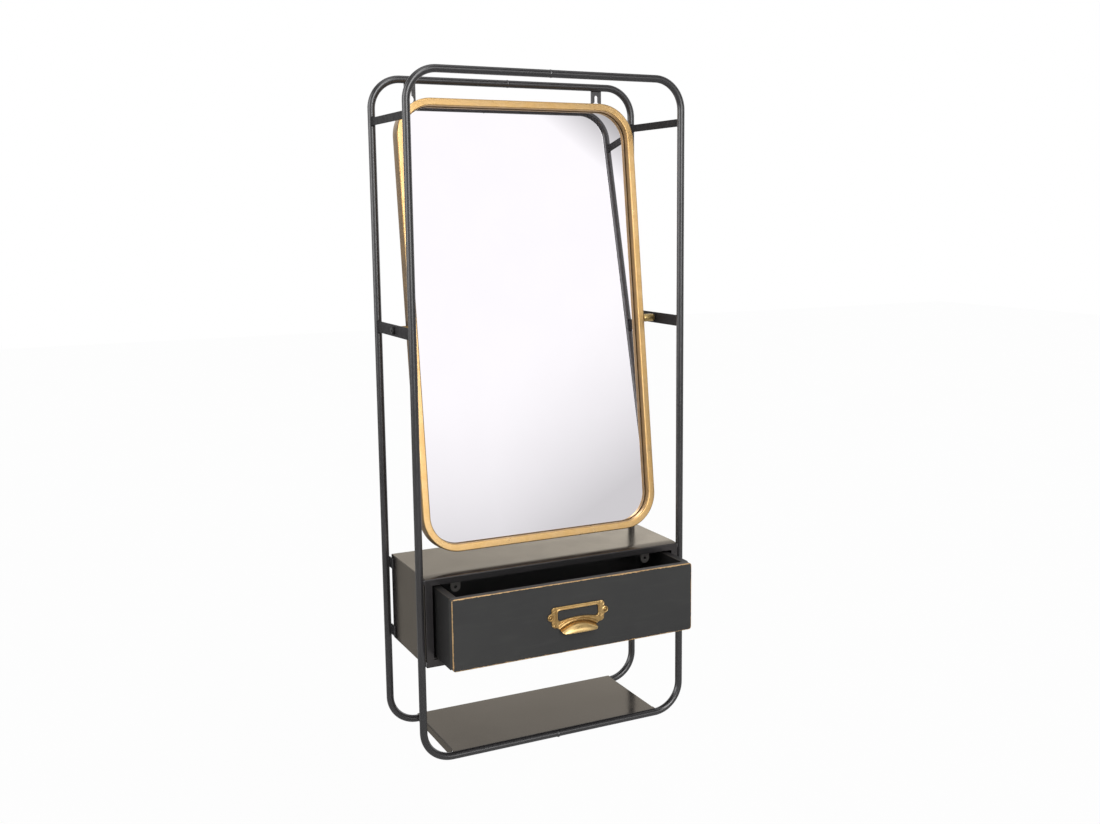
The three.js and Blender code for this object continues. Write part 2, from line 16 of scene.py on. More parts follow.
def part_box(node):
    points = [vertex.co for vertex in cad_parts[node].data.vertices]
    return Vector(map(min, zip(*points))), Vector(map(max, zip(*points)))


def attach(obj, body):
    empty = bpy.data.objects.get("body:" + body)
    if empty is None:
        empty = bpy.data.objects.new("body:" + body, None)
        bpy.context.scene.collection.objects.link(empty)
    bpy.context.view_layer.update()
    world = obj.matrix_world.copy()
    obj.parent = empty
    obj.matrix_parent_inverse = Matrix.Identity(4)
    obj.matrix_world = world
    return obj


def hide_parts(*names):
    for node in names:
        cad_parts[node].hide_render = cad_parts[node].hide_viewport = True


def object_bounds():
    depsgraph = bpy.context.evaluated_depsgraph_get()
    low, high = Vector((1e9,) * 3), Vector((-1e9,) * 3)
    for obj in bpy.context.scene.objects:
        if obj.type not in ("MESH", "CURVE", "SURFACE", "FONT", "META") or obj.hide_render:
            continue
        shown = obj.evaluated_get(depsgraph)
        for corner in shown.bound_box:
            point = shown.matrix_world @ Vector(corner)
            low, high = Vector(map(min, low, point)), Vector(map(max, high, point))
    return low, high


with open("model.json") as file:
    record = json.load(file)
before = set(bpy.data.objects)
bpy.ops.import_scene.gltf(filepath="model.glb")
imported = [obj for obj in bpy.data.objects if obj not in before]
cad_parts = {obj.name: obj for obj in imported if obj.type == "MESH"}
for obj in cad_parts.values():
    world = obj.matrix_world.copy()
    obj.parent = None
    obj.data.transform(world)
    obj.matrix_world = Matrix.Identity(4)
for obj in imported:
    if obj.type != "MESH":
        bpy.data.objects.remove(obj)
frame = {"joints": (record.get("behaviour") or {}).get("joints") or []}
cad_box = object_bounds()

scene = bpy.context.scene
scene.view_settings.view_transform = "Standard"

MM = 0.001

# ---- Camera ----

CAMERA_PLACE = Vector((-0.6973, -1.6108, -0.1618))
CAMERA_YAW = radians(26.946)
CAMERA_PITCH = radians(8.632)
CAMERA_ROLL = radians(-0.408)
CAMERA_LENS = 40.34
CAMERA_SHIFT = (-0.0329, -0.0121)


def add_camera():
    """Puts the camera at the photograph's place, looking down a little from the front left."""
    camera = bpy.data.cameras.new("camera")
    camera.sensor_width = 36
    camera.lens = CAMERA_LENS
    camera.shift_x, camera.shift_y = CAMERA_SHIFT
    turned_right = Matrix.Rotation(-CAMERA_YAW, 4, "Z")
    turned_down = Matrix.Rotation(pi / 2 - CAMERA_PITCH, 4, "X")
    rolled = Matrix.Rotation(CAMERA_ROLL, 4, "Z")
    holder = bpy.data.objects.new("camera", camera)
    holder.matrix_world = Matrix.Translation(CAMERA_PLACE) @ turned_right @ turned_down @ rolled
    scene.collection.objects.link(holder)
    scene.camera = holder


add_camera()

# ---- Node graphs ----


class Graph:
    """Adds and links the nodes of one material or of the world."""

    def __init__(self, tree):
        self.tree = tree
        tree.nodes.clear()

    def add(self, kind, inputs=None, **settings):
        node = self.tree.nodes.new("ShaderNode" + kind)
        for name, value in settings.items():
            setattr(node, name, value)
        for key, value in (inputs or {}).items():
            socket = node.inputs[key]
            if isinstance(value, bpy.types.NodeSocket):
                self.tree.links.new(value, socket)
            elif socket.type == "RGBA":
                socket.default_value = (*value, 1)
            else:
                socket.default_value = value
        return node

    def math(self, operation, *values):
        return self.add("Math", dict(enumerate(values)), operation=operation).outputs[0]

    def total(self, *values):
        return reduce(lambda a, b: self.math("ADD", a, b), values)

    def product(self, *values):
        return reduce(lambda a, b: self.math("MULTIPLY", a, b), values)

    def minus(self, value, other):
        return self.math("SUBTRACT", value, other)

    def blend(self, share, low, high):
        """A number from low to high, by a share from 0 to 1."""
        return self.total(self.product(low, self.minus(1.0, share)), self.product(high, share))

    def vector(self, operation, *values):
        node = self.add("VectorMath", dict(enumerate(values)), operation=operation)
        return node.outputs["Value" if operation == "LENGTH" else "Vector"]

    def axes(self, vector):
        return self.add("SeparateXYZ", {"Vector": vector}).outputs[:]

    def fade(self, value, start, end, low=0.0, high=1.0, kind="SMOOTHSTEP"):
        """A value that goes from low to high as another goes from start to end."""
        inputs = {"Value": value, "From Min": start, "From Max": end, "To Min": low, "To Max": high}
        return self.add("MapRange", inputs, interpolation_type=kind).outputs["Result"]

    def spread(self, value, low=0.0, high=1.0):
        """Noise, which keeps near its middle, brought out to go from low to high."""
        return self.fade(value, 0.3, 0.7, low, high)

    def mix(self, share, low, high):
        """A colour from low to high, by a share from 0 to 1."""
        return self.add("Mix", {0: share, 6: low, 7: high}, data_type="RGBA").outputs[2]

    def bounced(self, path):
        """1 for a ray that a glossy or clear surface sends on, and 0 for others."""
        return self.math("MAXIMUM", path["Is Glossy Ray"], path["Is Transmission Ray"])


class Finish(Graph):
    """A surface's material, with the record's slot that it belongs to."""

    def __init__(self, name, slot):
        self.material = bpy.data.materials.new(name)
        self.material.use_nodes = True
        self.slot = slot
        super().__init__(self.material.node_tree)
        self.place = self.add("TexCoord").outputs["Object"]

    def noise(self, scale, detail=2.0, rough=0.5, stretch=None, twist=0.0):
        where = self.vector("MULTIPLY", self.place, stretch) if stretch else self.place
        inputs = {"Vector": where, "Scale": scale, "Detail": detail}
        inputs |= {"Roughness": rough, "Distortion": twist}
        return self.add("TexNoise", inputs).outputs[0]

    def mottled(self, broad, fine, start, share):
        """Broad patches and fine specks together, from 0 to 1: share is what the specks add."""
        patches = self.spread(broad, 0.0, 1 - share)
        return self.total(patches, self.fade(fine, start, 0.7, 0.0, share))

    def bump(self, height, depth, below=None):
        inputs = {"Height": height, "Distance": depth, "Strength": 1.0}
        if below:
            inputs["Normal"] = below
        return self.add("Bump", inputs).outputs["Normal"]

    def surface(self, **inputs):
        """The shader: inputs are socket names with _ for a blank."""
        named = {key.replace("_", " "): value for key, value in inputs.items()}
        shader = self.add("BsdfPrincipled", named)
        self.add("OutputMaterial", {"Surface": shader.outputs[0]})
        return self


# ---- Finishes ----


def powder_coat(name, slot, dark, light, rough=(0.19, 0.27), gloss=0.8):
    """Dark coat with the faint pebbling of baked powder."""
    look = Finish(name, slot)
    cloud = look.noise(9, 3)
    speckle = look.noise(700, 2)
    share = look.mottled(cloud, speckle, 0.4, 0.3)
    pebbles = look.bump(look.noise(1100, 1), 0.02 * MM)
    return look.surface(
        Base_Color=look.mix(share, dark, light),
        Roughness=look.spread(look.noise(160, 3), *rough),
        Normal=look.bump(cloud, 0.05 * MM, pebbles),
        Specular_IOR_Level=gloss,
    )


def sheet_lacquer():
    """Dark lacquer on sheet steel, warm where it catches the light."""
    look = Finish("sheet_lacquer", "cabinet_paint")
    cloud = look.noise(5, 3, 0.5)
    speckle = look.noise(480, 3)
    share = look.mottled(cloud, speckle, 0.3, 0.25)
    ripple = look.bump(speckle, 0.012 * MM)
    return look.surface(
        Base_Color=look.mix(share, (0.052, 0.049, 0.051), (0.074, 0.070, 0.072)),
        Roughness=look.spread(look.noise(30, 3), 0.15, 0.21),
        Normal=look.bump(cloud, 0.25 * MM, ripple),
        Metallic=0.6,
        Specular_Tint=(1.0, 0.89, 0.72),
    )


def edge_distance(look, low, high):
    """How far a point on a box's surface is from the box's nearest edge."""
    centre = (low + high) / 2
    half = (high - low) / 2
    off_centre = look.vector("ABSOLUTE", look.vector("SUBTRACT", look.place, centre))
    x, y, z = look.axes(look.vector("SUBTRACT", half, off_centre))
    nearest = look.math("MINIMUM", x, y)
    farthest = look.math("MAXIMUM", x, y)
    return look.math("MAXIMUM", nearest, look.math("MINIMUM", farthest, z))


def rubbed_board(node, extent, width, coats, undercoats):
    """Charcoal paint, rubbed through along the edges of a box to a paler undercoat."""
    look = Finish(f"{node}_paint", "drawer_paint")
    distance = edge_distance(look, *extent)
    chips = look.noise(330, 4, 0.65)
    patches = look.noise(30, 3)
    chipped = look.fade(chips, 0.25, 0.75, 0.55 * width, 1.45 * width)
    reach = look.product(look.spread(patches, 0.7, 1.3), chipped)
    bare = look.fade(look.math("DIVIDE", distance, reach), 1.2, 0.8)
    undercoat = look.mix(look.noise(90, 3), *undercoats)
    cloud = look.noise(7, 4, 0.6)
    grain = look.noise(130, 3, 0.6, stretch=(0.12, 1.0, 1.0))
    coat = look.mix(look.spread(cloud), *coats)
    coat = look.mix(look.fade(grain, 0.5, 0.8, 0.0, 0.12), coat, (0.075, 0.074, 0.072))
    height = look.minus(look.noise(900, 2), look.product(bare, 2.0))
    return look.surface(
        Base_Color=look.mix(bare, coat, undercoat),
        Roughness=look.blend(bare, 0.5, 0.4),
        Metallic=look.product(bare, 0.6),
        Specular_IOR_Level=0.28,
        Normal=look.bump(height, 0.03 * MM),
    )


RELIEF = "relief"  # a vertex attribute: below 0 it browns the gold, as patina in the pull's hollows and as painted shade on the rim's leg walls; up to 1 it makes the gold paler, as wear and a painted highlight on the pull's crests
# brown for patina in the pull's hollows, also used as painted shade on the rim's leg walls
PATINA_AND_SHADE = (0.13, 0.068, 0.016)
# pale gold for wear on the pull's crests, and a painted highlight there
WORN_HIGHLIGHT_GOLD = (0.74, 0.51, 0.22)


def antique_gold(name, slot, low, high, rough, relief_depth, aged=False):
    """Mottled gold. Where it is aged, the relief's value browns it, as patina and as painted shade, or makes
    it paler, as wear and as a painted highlight.
    """
    look = Finish(name, slot)
    mottle = look.noise(45, 5, 0.65, twist=0.4)
    fleck = look.noise(520, 2)
    share = look.mottled(mottle, fleck, 0.35, 0.25)
    grain = look.bump(fleck, 0.3 * relief_depth)
    tone = look.mix(share, low, high)
    polish = look.spread(mottle, rough + 0.06, rough - 0.05)
    if aged:
        relief = look.add("Attribute", attribute_name=RELIEF).outputs["Fac"]
        patchy = look.spread(mottle, 0.75, 1.0)
        # browned: patina in the pull's hollows, and painted shade on the walls of the rim's legs
        browned = look.product(look.fade(relief, 0.0, -1.0), patchy)
        # the pale share: wear on the pull's crests, and a painted highlight on its cup and arch
        wear_and_highlight = look.fade(relief, 0.2, 1.0)
        tone = look.mix(wear_and_highlight, look.mix(browned, tone, PATINA_AND_SHADE), WORN_HIGHLIGHT_GOLD)
        polish = look.product(polish, look.fade(wear_and_highlight, 0.0, 1.0, 1.0, 0.9))
    return look.surface(
        Base_Color=tone,
        Roughness=polish,
        Metallic=0.85,
        Normal=look.bump(mottle, relief_depth, grain),
    )


def black_oxide():
    """Blackened steel, faintly stained."""
    look = Finish("black_oxide", "black_steel")
    stain = look.noise(260, 3)
    return look.surface(
        Base_Color=look.mix(look.spread(stain), (0.014, 0.014, 0.015), (0.032, 0.031, 0.030)),
        Roughness=look.spread(look.noise(500, 2), 0.38, 0.52),
        Metallic=0.5,
        Normal=look.bump(stain, 0.02 * MM),
    )


def silvering(half_width, half_height, corner):
    """Silvered glass with a thin brown line outside the silver, along the glass's edge."""
    look = Finish("silvering", "silvered_glass")
    straight = Vector((half_width - corner, 1.0, half_height - corner))
    beyond = look.vector("SUBTRACT", look.vector("ABSOLUTE", look.place), straight)
    past_corner = look.vector("LENGTH", look.vector("MAXIMUM", beyond, (0, 0, 0)))
    inwards = look.minus(corner, past_corner)
    silver = look.fade(inwards, 0.6 * MM, 1.1 * MM)
    haze = look.noise(14, 3)
    tone = look.mix(look.spread(haze), (0.955, 0.928, 0.965), (0.965, 0.938, 0.975))
    return look.surface(
        Base_Color=look.mix(silver, (0.12, 0.075, 0.035), tone),
        Roughness=look.blend(silver, 0.2, 0.0),
        Metallic=silver,
    )


def hardboard():
    """Brown pressed fibre."""
    look = Finish("hardboard", "board")
    fibres = look.noise(320, 5, 0.7, stretch=(1.0, 1.0, 0.35))
    blotches = look.noise(18, 3)
    tone = look.mix(look.spread(fibres), (0.13, 0.075, 0.038), (0.25, 0.155, 0.085))
    tone = look.mix(look.fade(blotches, 0.4, 0.7, 0.0, 0.4), tone, (0.17, 0.10, 0.055))
    return look.surface(
        Base_Color=tone,
        Roughness=look.spread(fibres, 0.6, 0.85),
        Normal=look.bump(fibres, 0.06 * MM),
    )


COAT_LIGHT = (0.036, 0.034, 0.036)
MATT = {"rough": (0.52, 0.62), "gloss": 0.15}
tube_coat = powder_coat("tube_coat", "frame_paint", (0.022, 0.021, 0.022), COAT_LIGHT)
bar_coat = powder_coat("bar_coat", "frame_paint", (0.024, 0.023, 0.024), COAT_LIGHT, **MATT)
lug_zinc = powder_coat("lug_zinc", "cabinet_paint", (0.09, 0.085, 0.08), (0.15, 0.145, 0.135))
lacquer = sheet_lacquer()
rim_gold = antique_gold(
    "rim_gold", "gold_finish", (0.665, 0.41, 0.158), (0.775, 0.52, 0.245), 0.32, 0.02 * MM, aged=True
)
pull_gold = antique_gold(
    "pull_gold", "gold_finish", (0.42, 0.25, 0.085), (0.68, 0.46, 0.20), 0.34, 0.07 * MM, aged=True
)
screw_gold = antique_gold(
    "screw_gold", "gold_finish", (0.26, 0.16, 0.055), (0.44, 0.28, 0.11), 0.38, 0.03 * MM
)
spacer_brass = antique_gold(
    "spacer_brass", "pivot_brass", (0.42, 0.29, 0.11), (0.60, 0.43, 0.18), 0.3, 0.03 * MM
)
oxide = black_oxide()
board = hardboard()

# ---- Shapes ----

FRONT = Matrix.Rotation(pi / 2, 4, "X")  # makes a plate drawn flat stand up and face the viewer
SIDE = Matrix(((0, 0, 1, 0), (1, 0, 0, 0), (0, 1, 0, 0), (0, 0, 0, 1)))  # makes it face sideways
SHARP = radians(38)
TURN_STEPS = 48


def skin(rings, closed=False):
    """Covers a row of rings of points. Its ends are capped, or closed joins the last ring to the first."""
    shape = bmesh.new()
    loops = [[shape.verts.new(point) for point in ring] for ring in rings]
    following = loops[1:] + loops[:1] if closed else loops[1:]
    for a, b in zip(loops, following):
        for i in range(len(a)):
            j = (i + 1) % len(a)
            shape.faces.new((a[i], a[j], b[j], b[i]))
    if not closed:
        shape.faces.new(loops[0])
        shape.faces.new(loops[-1])
    return shape


def turned(profile, recess=(), closed=False):
    """A form turned about the X axis, from (x, radius) points.

    It may end in a recess that isn't round, from (x, function) pairs: a function gives the reach at an angle.
    """
    angles = [2 * pi * i / TURN_STEPS for i in range(TURN_STEPS)]
    rings = [[(x, radius * cos(a), radius * sin(a)) for a in angles] for x, radius in profile]
    rings += [[(x, reach(a) * cos(a), reach(a) * sin(a)) for a in angles] for x, reach in recess]
    return skin(rings, closed=closed)


def cross(scale):
    """The outline of a cross recess, as its reach at an angle."""
    return lambda angle: scale * (0.45 + 0.95 * abs(cos(2 * angle)) ** 3) * MM


def hexagon(apothem):
    """The outline of a hexagon socket, as its reach at an angle."""
    return lambda angle: apothem / cos((angle % (pi / 3)) - pi / 6)


def arc(centre, radius, start, end, steps):
    """Points on an arc, with angles in degrees."""
    angles = [radians(start + (end - start) * i / steps) for i in range(steps + 1)]
    return [(centre[0] + radius * cos(a), centre[1] + radius * sin(a)) for a in angles]


def corners(x, y):
    """The centres of a rounded rectangle's corners, each with the angle where it starts."""
    return (x, y, 0), (-x, y, 90), (-x, -y, 180), (x, -y, 270)


def rounded_rectangle(width, height, radius, steps):
    """The outline of a rectangle with round corners, centred on the origin."""
    centres = corners(width / 2 - radius, height / 2 - radius)
    return [p for x, y, start in centres for p in arc((x, y), radius, start, start + 90, steps)]


def circle(centre, radius, steps=32):
    return arc(centre, radius, 0, 360, steps)[:-1]


def sweep_ring(section, x, y, z, across, up):
    """A tube's section where its line passes a point, turned to the side that faces out of the bend."""
    return [(x + u * across, y + v, z + u * up) for u, v in section]


def plate(outlines, thickness, edge, steps=2):
    """A flat plate with rounded edges: the first outline is its outside, and the others are holes."""
    curve = bpy.data.curves.new("outline", "CURVE")
    curve.dimensions = "2D"
    curve.fill_mode = "BOTH"
    curve.extrude = thickness / 2 - edge
    curve.bevel_depth = edge
    curve.bevel_resolution = steps
    curve.offset = -edge
    for outline in outlines:
        spline = curve.splines.new("POLY")
        spline.points.add(len(outline) - 1)
        for point, (x, y) in zip(spline.points, outline):
            point.co = (x, y, 0, 1)
        spline.use_cyclic_u = True
    carrier = bpy.data.objects.new("outline", curve)
    mesh = bpy.data.meshes.new_from_object(carrier)
    shape = bmesh.new()
    shape.from_mesh(mesh)
    bmesh.ops.remove_doubles(shape, verts=shape.verts, dist=0.002 * MM)
    bpy.data.meshes.remove(mesh)
    bpy.data.objects.remove(carrier)
    bpy.data.curves.remove(curve)
    return shape


def moved(shape, *matrices):
    """Transforms a shape by each matrix in turn."""
    for matrix in matrices:
        shape.transform(matrix)
    return shape


def panel(outlines, thickness, edge, centre, steps=2):
    """A plate that stands up and faces the viewer."""
    return moved(plate(outlines, thickness, edge, steps), FRONT, Matrix.Translation(centre))


def box(low, high):
    """A plain box between two corners, to be shaped further."""
    shape = bmesh.new()
    bmesh.ops.create_cube(shape, size=1)
    return moved(shape, Matrix.Diagonal((*(high - low), 1)), Matrix.Translation((low + high) / 2))


def eased(shape, edges, radius, steps):
    """Rounds edges of a shape."""
    bmesh.ops.bevel(shape, geom=edges, offset=radius, segments=steps, profile=0.5, affect="EDGES")
    return shape


def block(low, high, edge):
    """A box with rounded edges."""
    shape = box(low, high)
    return eased(shape, shape.edges[:], edge, 3)


def merged(*shapes):
    """One shape out of several."""
    whole, *others = shapes
    for other in others:
        mesh = bpy.data.meshes.new("part")
        other.to_mesh(mesh)
        other.free()
        whole.from_mesh(mesh)
        bpy.data.meshes.remove(mesh)
    return whole


def mirrored(shape):
    """The shape's image on the other side of the plane x = 0."""
    other = shape.copy()
    other.transform(Matrix.Diagonal((-1, 1, 1, 1)))
    bmesh.ops.reverse_faces(other, faces=other.faces)
    return other


def measured(node):
    """The middle and the half size of a CAD node's box."""
    low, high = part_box(node)
    return (low + high) / 2, (high - low) / 2


def sliced(shape, point, **settings):
    """Cuts a shape across the Y axis, and gives the cut."""
    whole = shape.verts[:] + shape.edges[:] + shape.faces[:]
    across = {"plane_co": point, "plane_no": (0, 1, 0), **settings}
    return bmesh.ops.bisect_plane(shape, geom=whole, **across)["geom_cut"]


# ---- Pieces ----


def put(name, shape, look, body, *nodes, place=None, flat=False, steps=()):
    """Makes a named piece of a shape. It rides on a body and stands for CAD nodes."""
    bmesh.ops.recalc_face_normals(shape, faces=shape.faces)
    mesh = bpy.data.meshes.new(name)
    shape.to_mesh(mesh)
    shape.free()
    piece = bpy.data.objects.new(name, mesh)
    scene.collection.objects.link(piece)
    if place:
        piece.matrix_world = place
    for kind, settings in steps:
        modifier = piece.modifiers.new(kind.lower(), kind)
        for key, value in settings.items():
            setattr(modifier, key, value)
    if steps:
        evaluated = piece.evaluated_get(bpy.context.evaluated_depsgraph_get())
        piece.data = bpy.data.meshes.new_from_object(evaluated)
        piece.modifiers.clear()
        bpy.data.meshes.remove(mesh)
        piece.data.name = name
    piece.data.shade_smooth()
    piece.data.set_sharp_from_angle(angle=SHARP)
    if flat:
        weighting = piece.modifiers.new("normals", "WEIGHTED_NORMAL")
        weighting.keep_sharp = True
    piece.data.materials.clear()
    piece.data.materials.append(look.material)
    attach(piece, body)
    if nodes:
        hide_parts(*nodes)


def put_pair(name, shape, look, body, *nodes, **settings):
    """A right-hand piece and its image on the left. The names and nodes get _right and _left."""
    left = mirrored(shape)
    for hand, form in (("right", shape), ("left", left)):
        put(f"{name}_{hand}", form, look, body, *(f"{n}_{hand}" for n in nodes), **settings)


# ---- Frame: tubes and the beads between their halves ----

TUBE_SIDES = 32
BEND_STEPS = 24

loop_low, loop_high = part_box("front_loop_right")
shelf_low, shelf_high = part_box("shelf")
tube_radius = (loop_high.y - loop_low.y) / 2
front_loop_y = (loop_high.y + loop_low.y) / 2
wall_loop_y = sum(corner.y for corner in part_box("wall_loop_right")) / 2
leg_x = loop_high.x - tube_radius
top_tube_z = loop_high.z - tube_radius
bottom_tube_z = loop_low.z + tube_radius
straight_end_x = shelf_high.x
bend_radius = leg_x - straight_end_x


def tube_half(y):
    """The right half of a loop, swept round along the line of its tube."""
    stations = [(loop_low.x, top_tube_z, 0, 1)]
    for centre_z, start in ((top_tube_z - bend_radius, 90), (bottom_tube_z + bend_radius, 0)):
        for across, up in arc((0, 0), 1, start, start - 90, BEND_STEPS):
            x = straight_end_x + bend_radius * across
            stations.append((x, centre_z + bend_radius * up, across, up))
    stations.append((loop_low.x, bottom_tube_z, 0, -1))
    section = circle((0, 0), tube_radius, TUBE_SIDES)
    return skin([sweep_ring(section, x, y, z, across, up) for x, z, across, up in stations])


def weld_bead(node):
    """An uneven bead round the tube that closes a loop."""
    centre, _ = measured(node)
    half_width = 1.7 * MM
    crest = 0.45 * MM
    rings = []
    for share in (-1, -0.75, -0.4, 0, 0.4, 0.75, 1):
        ring = []
        for i in range(TUBE_SIDES):
            angle = 2 * pi * i / TUBE_SIDES
            lump = 0.25 * noise.noise(Vector((9 * share, 3 * cos(angle), 3 * sin(angle))) + 50 * centre)
            rise = crest * (cos(pi * share / 2) + lump) * (1 - share**4) - 0.05 * MM
            radius = tube_radius + min(rise, crest)
            wander = 0.3 * MM * sin(3 * angle + 40 * centre.y)
            ring.append((half_width * share + wander, radius * cos(angle), radius * sin(angle)))
        rings.append(ring)
    return moved(skin(rings), Matrix.Translation(centre))


put_pair("front_tube", tube_half(front_loop_y), tube_coat, "frame", "front_loop")
put_pair("wall_tube", tube_half(wall_loop_y), tube_coat, "frame", "wall_loop")
for weld in ("front_weld_top", "front_weld_bottom", "wall_weld_top", "wall_weld_bottom"):
    put(f"{weld}_bead", weld_bead(weld), tube_coat, "frame", weld)

# ---- Bars between the loops ----

BAR_EDGE = 0.5 * MM
BAR_SINK = 1.0 * MM
FILLET = ((-0.9, 1.7), (0.0, 1.5), (0.35, 1.0), (0.8, 0.55), (1.4, 0.22), (2.2, 0.0))


def fillet(centre, face_y, direction, half):
    """The weld round the end of a bar: it swells towards the tube's face."""
    rings = []
    for step, (away, swell) in enumerate(FILLET):
        x = half.x + swell * 0.75 * MM
        z = half.z + swell * MM
        outline = rounded_rectangle(2 * x, 2 * z, min(x, z) * 0.8, 5)
        y = face_y + direction * away * MM
        ring = []
        for px, pz in outline:
            lump = 1 + 0.1 * swell * noise.noise(Vector((px * 900, step * 1.3, pz * 900)))
            ring.append((centre.x + px * lump, y, centre.z + pz * lump))
        rings.append(ring)
    return skin(rings)


def bar(node, holes=()):
    """A flat bar on edge that sinks a little into each tube, with its welds."""
    centre, half = measured(node)
    outline = rounded_rectangle(2 * (half.y + BAR_SINK), 2 * half.z, 0.4 * MM, 2)
    flat = moved(plate([outline, *holes], 2 * half.x, BAR_EDGE), SIDE, Matrix.Translation(centre))
    front = fillet(centre, front_loop_y + tube_radius, 1, half)
    back = fillet(centre, wall_loop_y - tube_radius, -1, half)
    return merged(flat, front, back)


BORE = 2.8 * MM
bolt_hole = circle((0, 0), BORE)
put_pair("spreader", bar("upper_spreader_right"), bar_coat, "frame", "upper_spreader", flat=True)
pivot_strap = bar("pivot_bar_right", [bolt_hole])
put_pair("pivot_strap", pivot_strap, bar_coat, "frame", "pivot_bar", flat=True)

# ---- Hanger plates ----

HANGER_SINK = 1.2 * MM
HANGER_CORNER = 5 * MM
KEYHOLE_SLOT = 2.5 * MM
KEYHOLE_RADIUS = 5.5 * MM
KEYHOLE_DROP = 12 * MM


def keyhole(hook_z):
    """A slot round the hook's screw, over the hole that the screw's head passes through."""
    hole_z = hook_z - KEYHOLE_DROP
    mouth = 90 - 180 / pi * asin(KEYHOLE_SLOT / KEYHOLE_RADIUS)
    outline = arc((0, hole_z), KEYHOLE_RADIUS, 180 - mouth, 360 + mouth, 28)
    return outline + arc((0, hook_z), KEYHOLE_SLOT, 0, 180, 12)


def hanger_bead(half_x, y, z):
    """The weld along a hanger's top."""
    rings = []
    for i in range(25):
        share = i / 12 - 1
        x = share * (half_x - 0.3 * MM)
        size = (1.3 + 0.25 * noise.noise(Vector((x * 700, 0, 0)))) * MM
        size *= sqrt(max(0.04, 1 - share**8))
        rings.append([(x, y + v * 0.8, z + u) for u, v in circle((0, 0), size, 12)])
    return skin(rings)


def hanger():
    """A keyhole plate that sinks into the wall tube, with a bead along its top."""
    centre, half = measured("hanger_plate_right")
    top = half.z + HANGER_SINK
    side = half.x - HANGER_CORNER
    foot = HANGER_CORNER - half.z
    outline = [(half.x, top), (-half.x, top)]
    outline += arc((-side, foot), HANGER_CORNER, 180, 270, 8)
    outline += arc((side, foot), HANGER_CORNER, 270, 360, 8)
    flat = panel([outline, keyhole(-centre.z)], 2 * half.y, 0.3 * MM, (0, 0, 0))
    bead = hanger_bead(half.x, -half.y, top - 1.1 * MM)
    return moved(merged(flat, bead), Matrix.Translation(centre))


put_pair("hanger", hanger(), tube_coat, "frame", "hanger_plate", flat=True)

# ---- Shelf ----

FOLD = 1.8 * MM


def bent(thickness):
    """Settings for a folded sheet: it thickens inwards and its edges are eased."""
    sheet = ("SOLIDIFY", {"thickness": thickness, "offset": -1, "use_even_offset": True})
    edge = ("BEVEL", {"width": 0.22 * MM, "segments": 2, "limit_method": "ANGLE"})
    return {"steps": [sheet, edge], "flat": True}


def shelf():
    """The outer side of a sheet whose ends are folded down between the tubes."""
    shape = bmesh.new()
    flange_y = (loop_high.y + 0.3 * MM, wall_loop_y - tube_radius - 0.3 * MM)
    stations = [shelf_low.y, *flange_y, shelf_high.y]
    fold_x = shelf_high.x - FOLD
    bend = arc((fold_x, shelf_high.z - FOLD), FOLD, 90, 0, 5)[1:]
    drop = [*bend, (shelf_high.x, shelf_low.z)]
    rows = []
    for y in stations:
        rows.append([shape.verts.new((x, y, shelf_high.z)) for x in (-fold_x, fold_x)])
    for a, b in zip(rows, rows[1:]):
        shape.faces.new((a[0], a[1], b[1], b[0]))
    for side in (-1, 1):
        column = 0 if side < 0 else 1
        front, back = rows[1][column], rows[2][column]
        for x, z in drop:
            next_front = shape.verts.new((side * x, flange_y[0], z))
            next_back = shape.verts.new((side * x, flange_y[1], z))
            shape.faces.new((front, next_front, next_back, back))
            front, back = next_front, next_back
        for near, far in ((rows[0][column], rows[1][column]), (rows[2][column], rows[3][column])):
            ends = [shape.verts.new((side * shelf_high.x, v.co.y, shelf_high.z)) for v in (near, far)]
            shape.faces.new((near, ends[0], ends[1], far))
    return shape


put("shelf_tray", shelf(), lacquer, "frame", "shelf", **bent(1.0 * MM))

# ---- Cabinet ----

CORNER_FOLD = 1.0 * MM
SAG_REACH = 18 * MM
SAG_DEPTH = 1.5 * MM
SAG_STEPS = 8

top_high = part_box("cabinet_top")[1]
base_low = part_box("cabinet_bottom")[0]


def cabinet_shell():
    """The outer side of the folded cabinet, open at the back and with the drawer's opening in front."""
    shape = box(base_low, top_high)
    back = [f for f in shape.faces if f.calc_center_median().y > top_high.y - MM]
    bmesh.ops.delete(shape, geom=back, context="FACES_ONLY")
    eased(shape, [e for e in shape.edges if not e.is_boundary], CORNER_FOLD, 4)
    cut_opening(shape)
    sag_front_edge(shape)
    return shape


def cut_opening(shape):
    """Cuts the drawer's opening into the cabinet's front face."""
    middle = (base_low + top_high) / 2

    def quarter(vertex):
        return vertex.co.x > middle.x, vertex.co.z > middle.z

    face = min(shape.faces, key=lambda f: (f.calc_center_median().y, -f.calc_area()))
    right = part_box("face_stile_right")[0].x
    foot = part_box("face_rail_bottom")[1].z
    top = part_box("face_rail_top")[0].z
    opening = [(-right, foot), (right, foot), (right, top), (-right, top)]
    inner = [shape.verts.new((x, base_low.y, z)) for x, z in opening]
    outer = {quarter(v): v for v in face.verts}
    bmesh.ops.delete(shape, geom=[face], context="FACES_ONLY")
    for a, b in zip(inner, inner[1:] + inner[:1]):
        shape.faces.new((outer[quarter(a)], outer[quarter(b)], b, a))


def sag_front_edge(shape):
    """Curves the top down to its front edge, where the sheet was bent."""
    for step in range(1, SAG_STEPS + 1):
        sliced(shape, (0, base_low.y + SAG_REACH * step / SAG_STEPS, 0))
    for v in shape.verts:
        if v.co.z > top_high.z - 2 * CORNER_FOLD:
            v.co.z -= SAG_DEPTH * max(0, 1 - (v.co.y - base_low.y) / SAG_REACH) ** 2


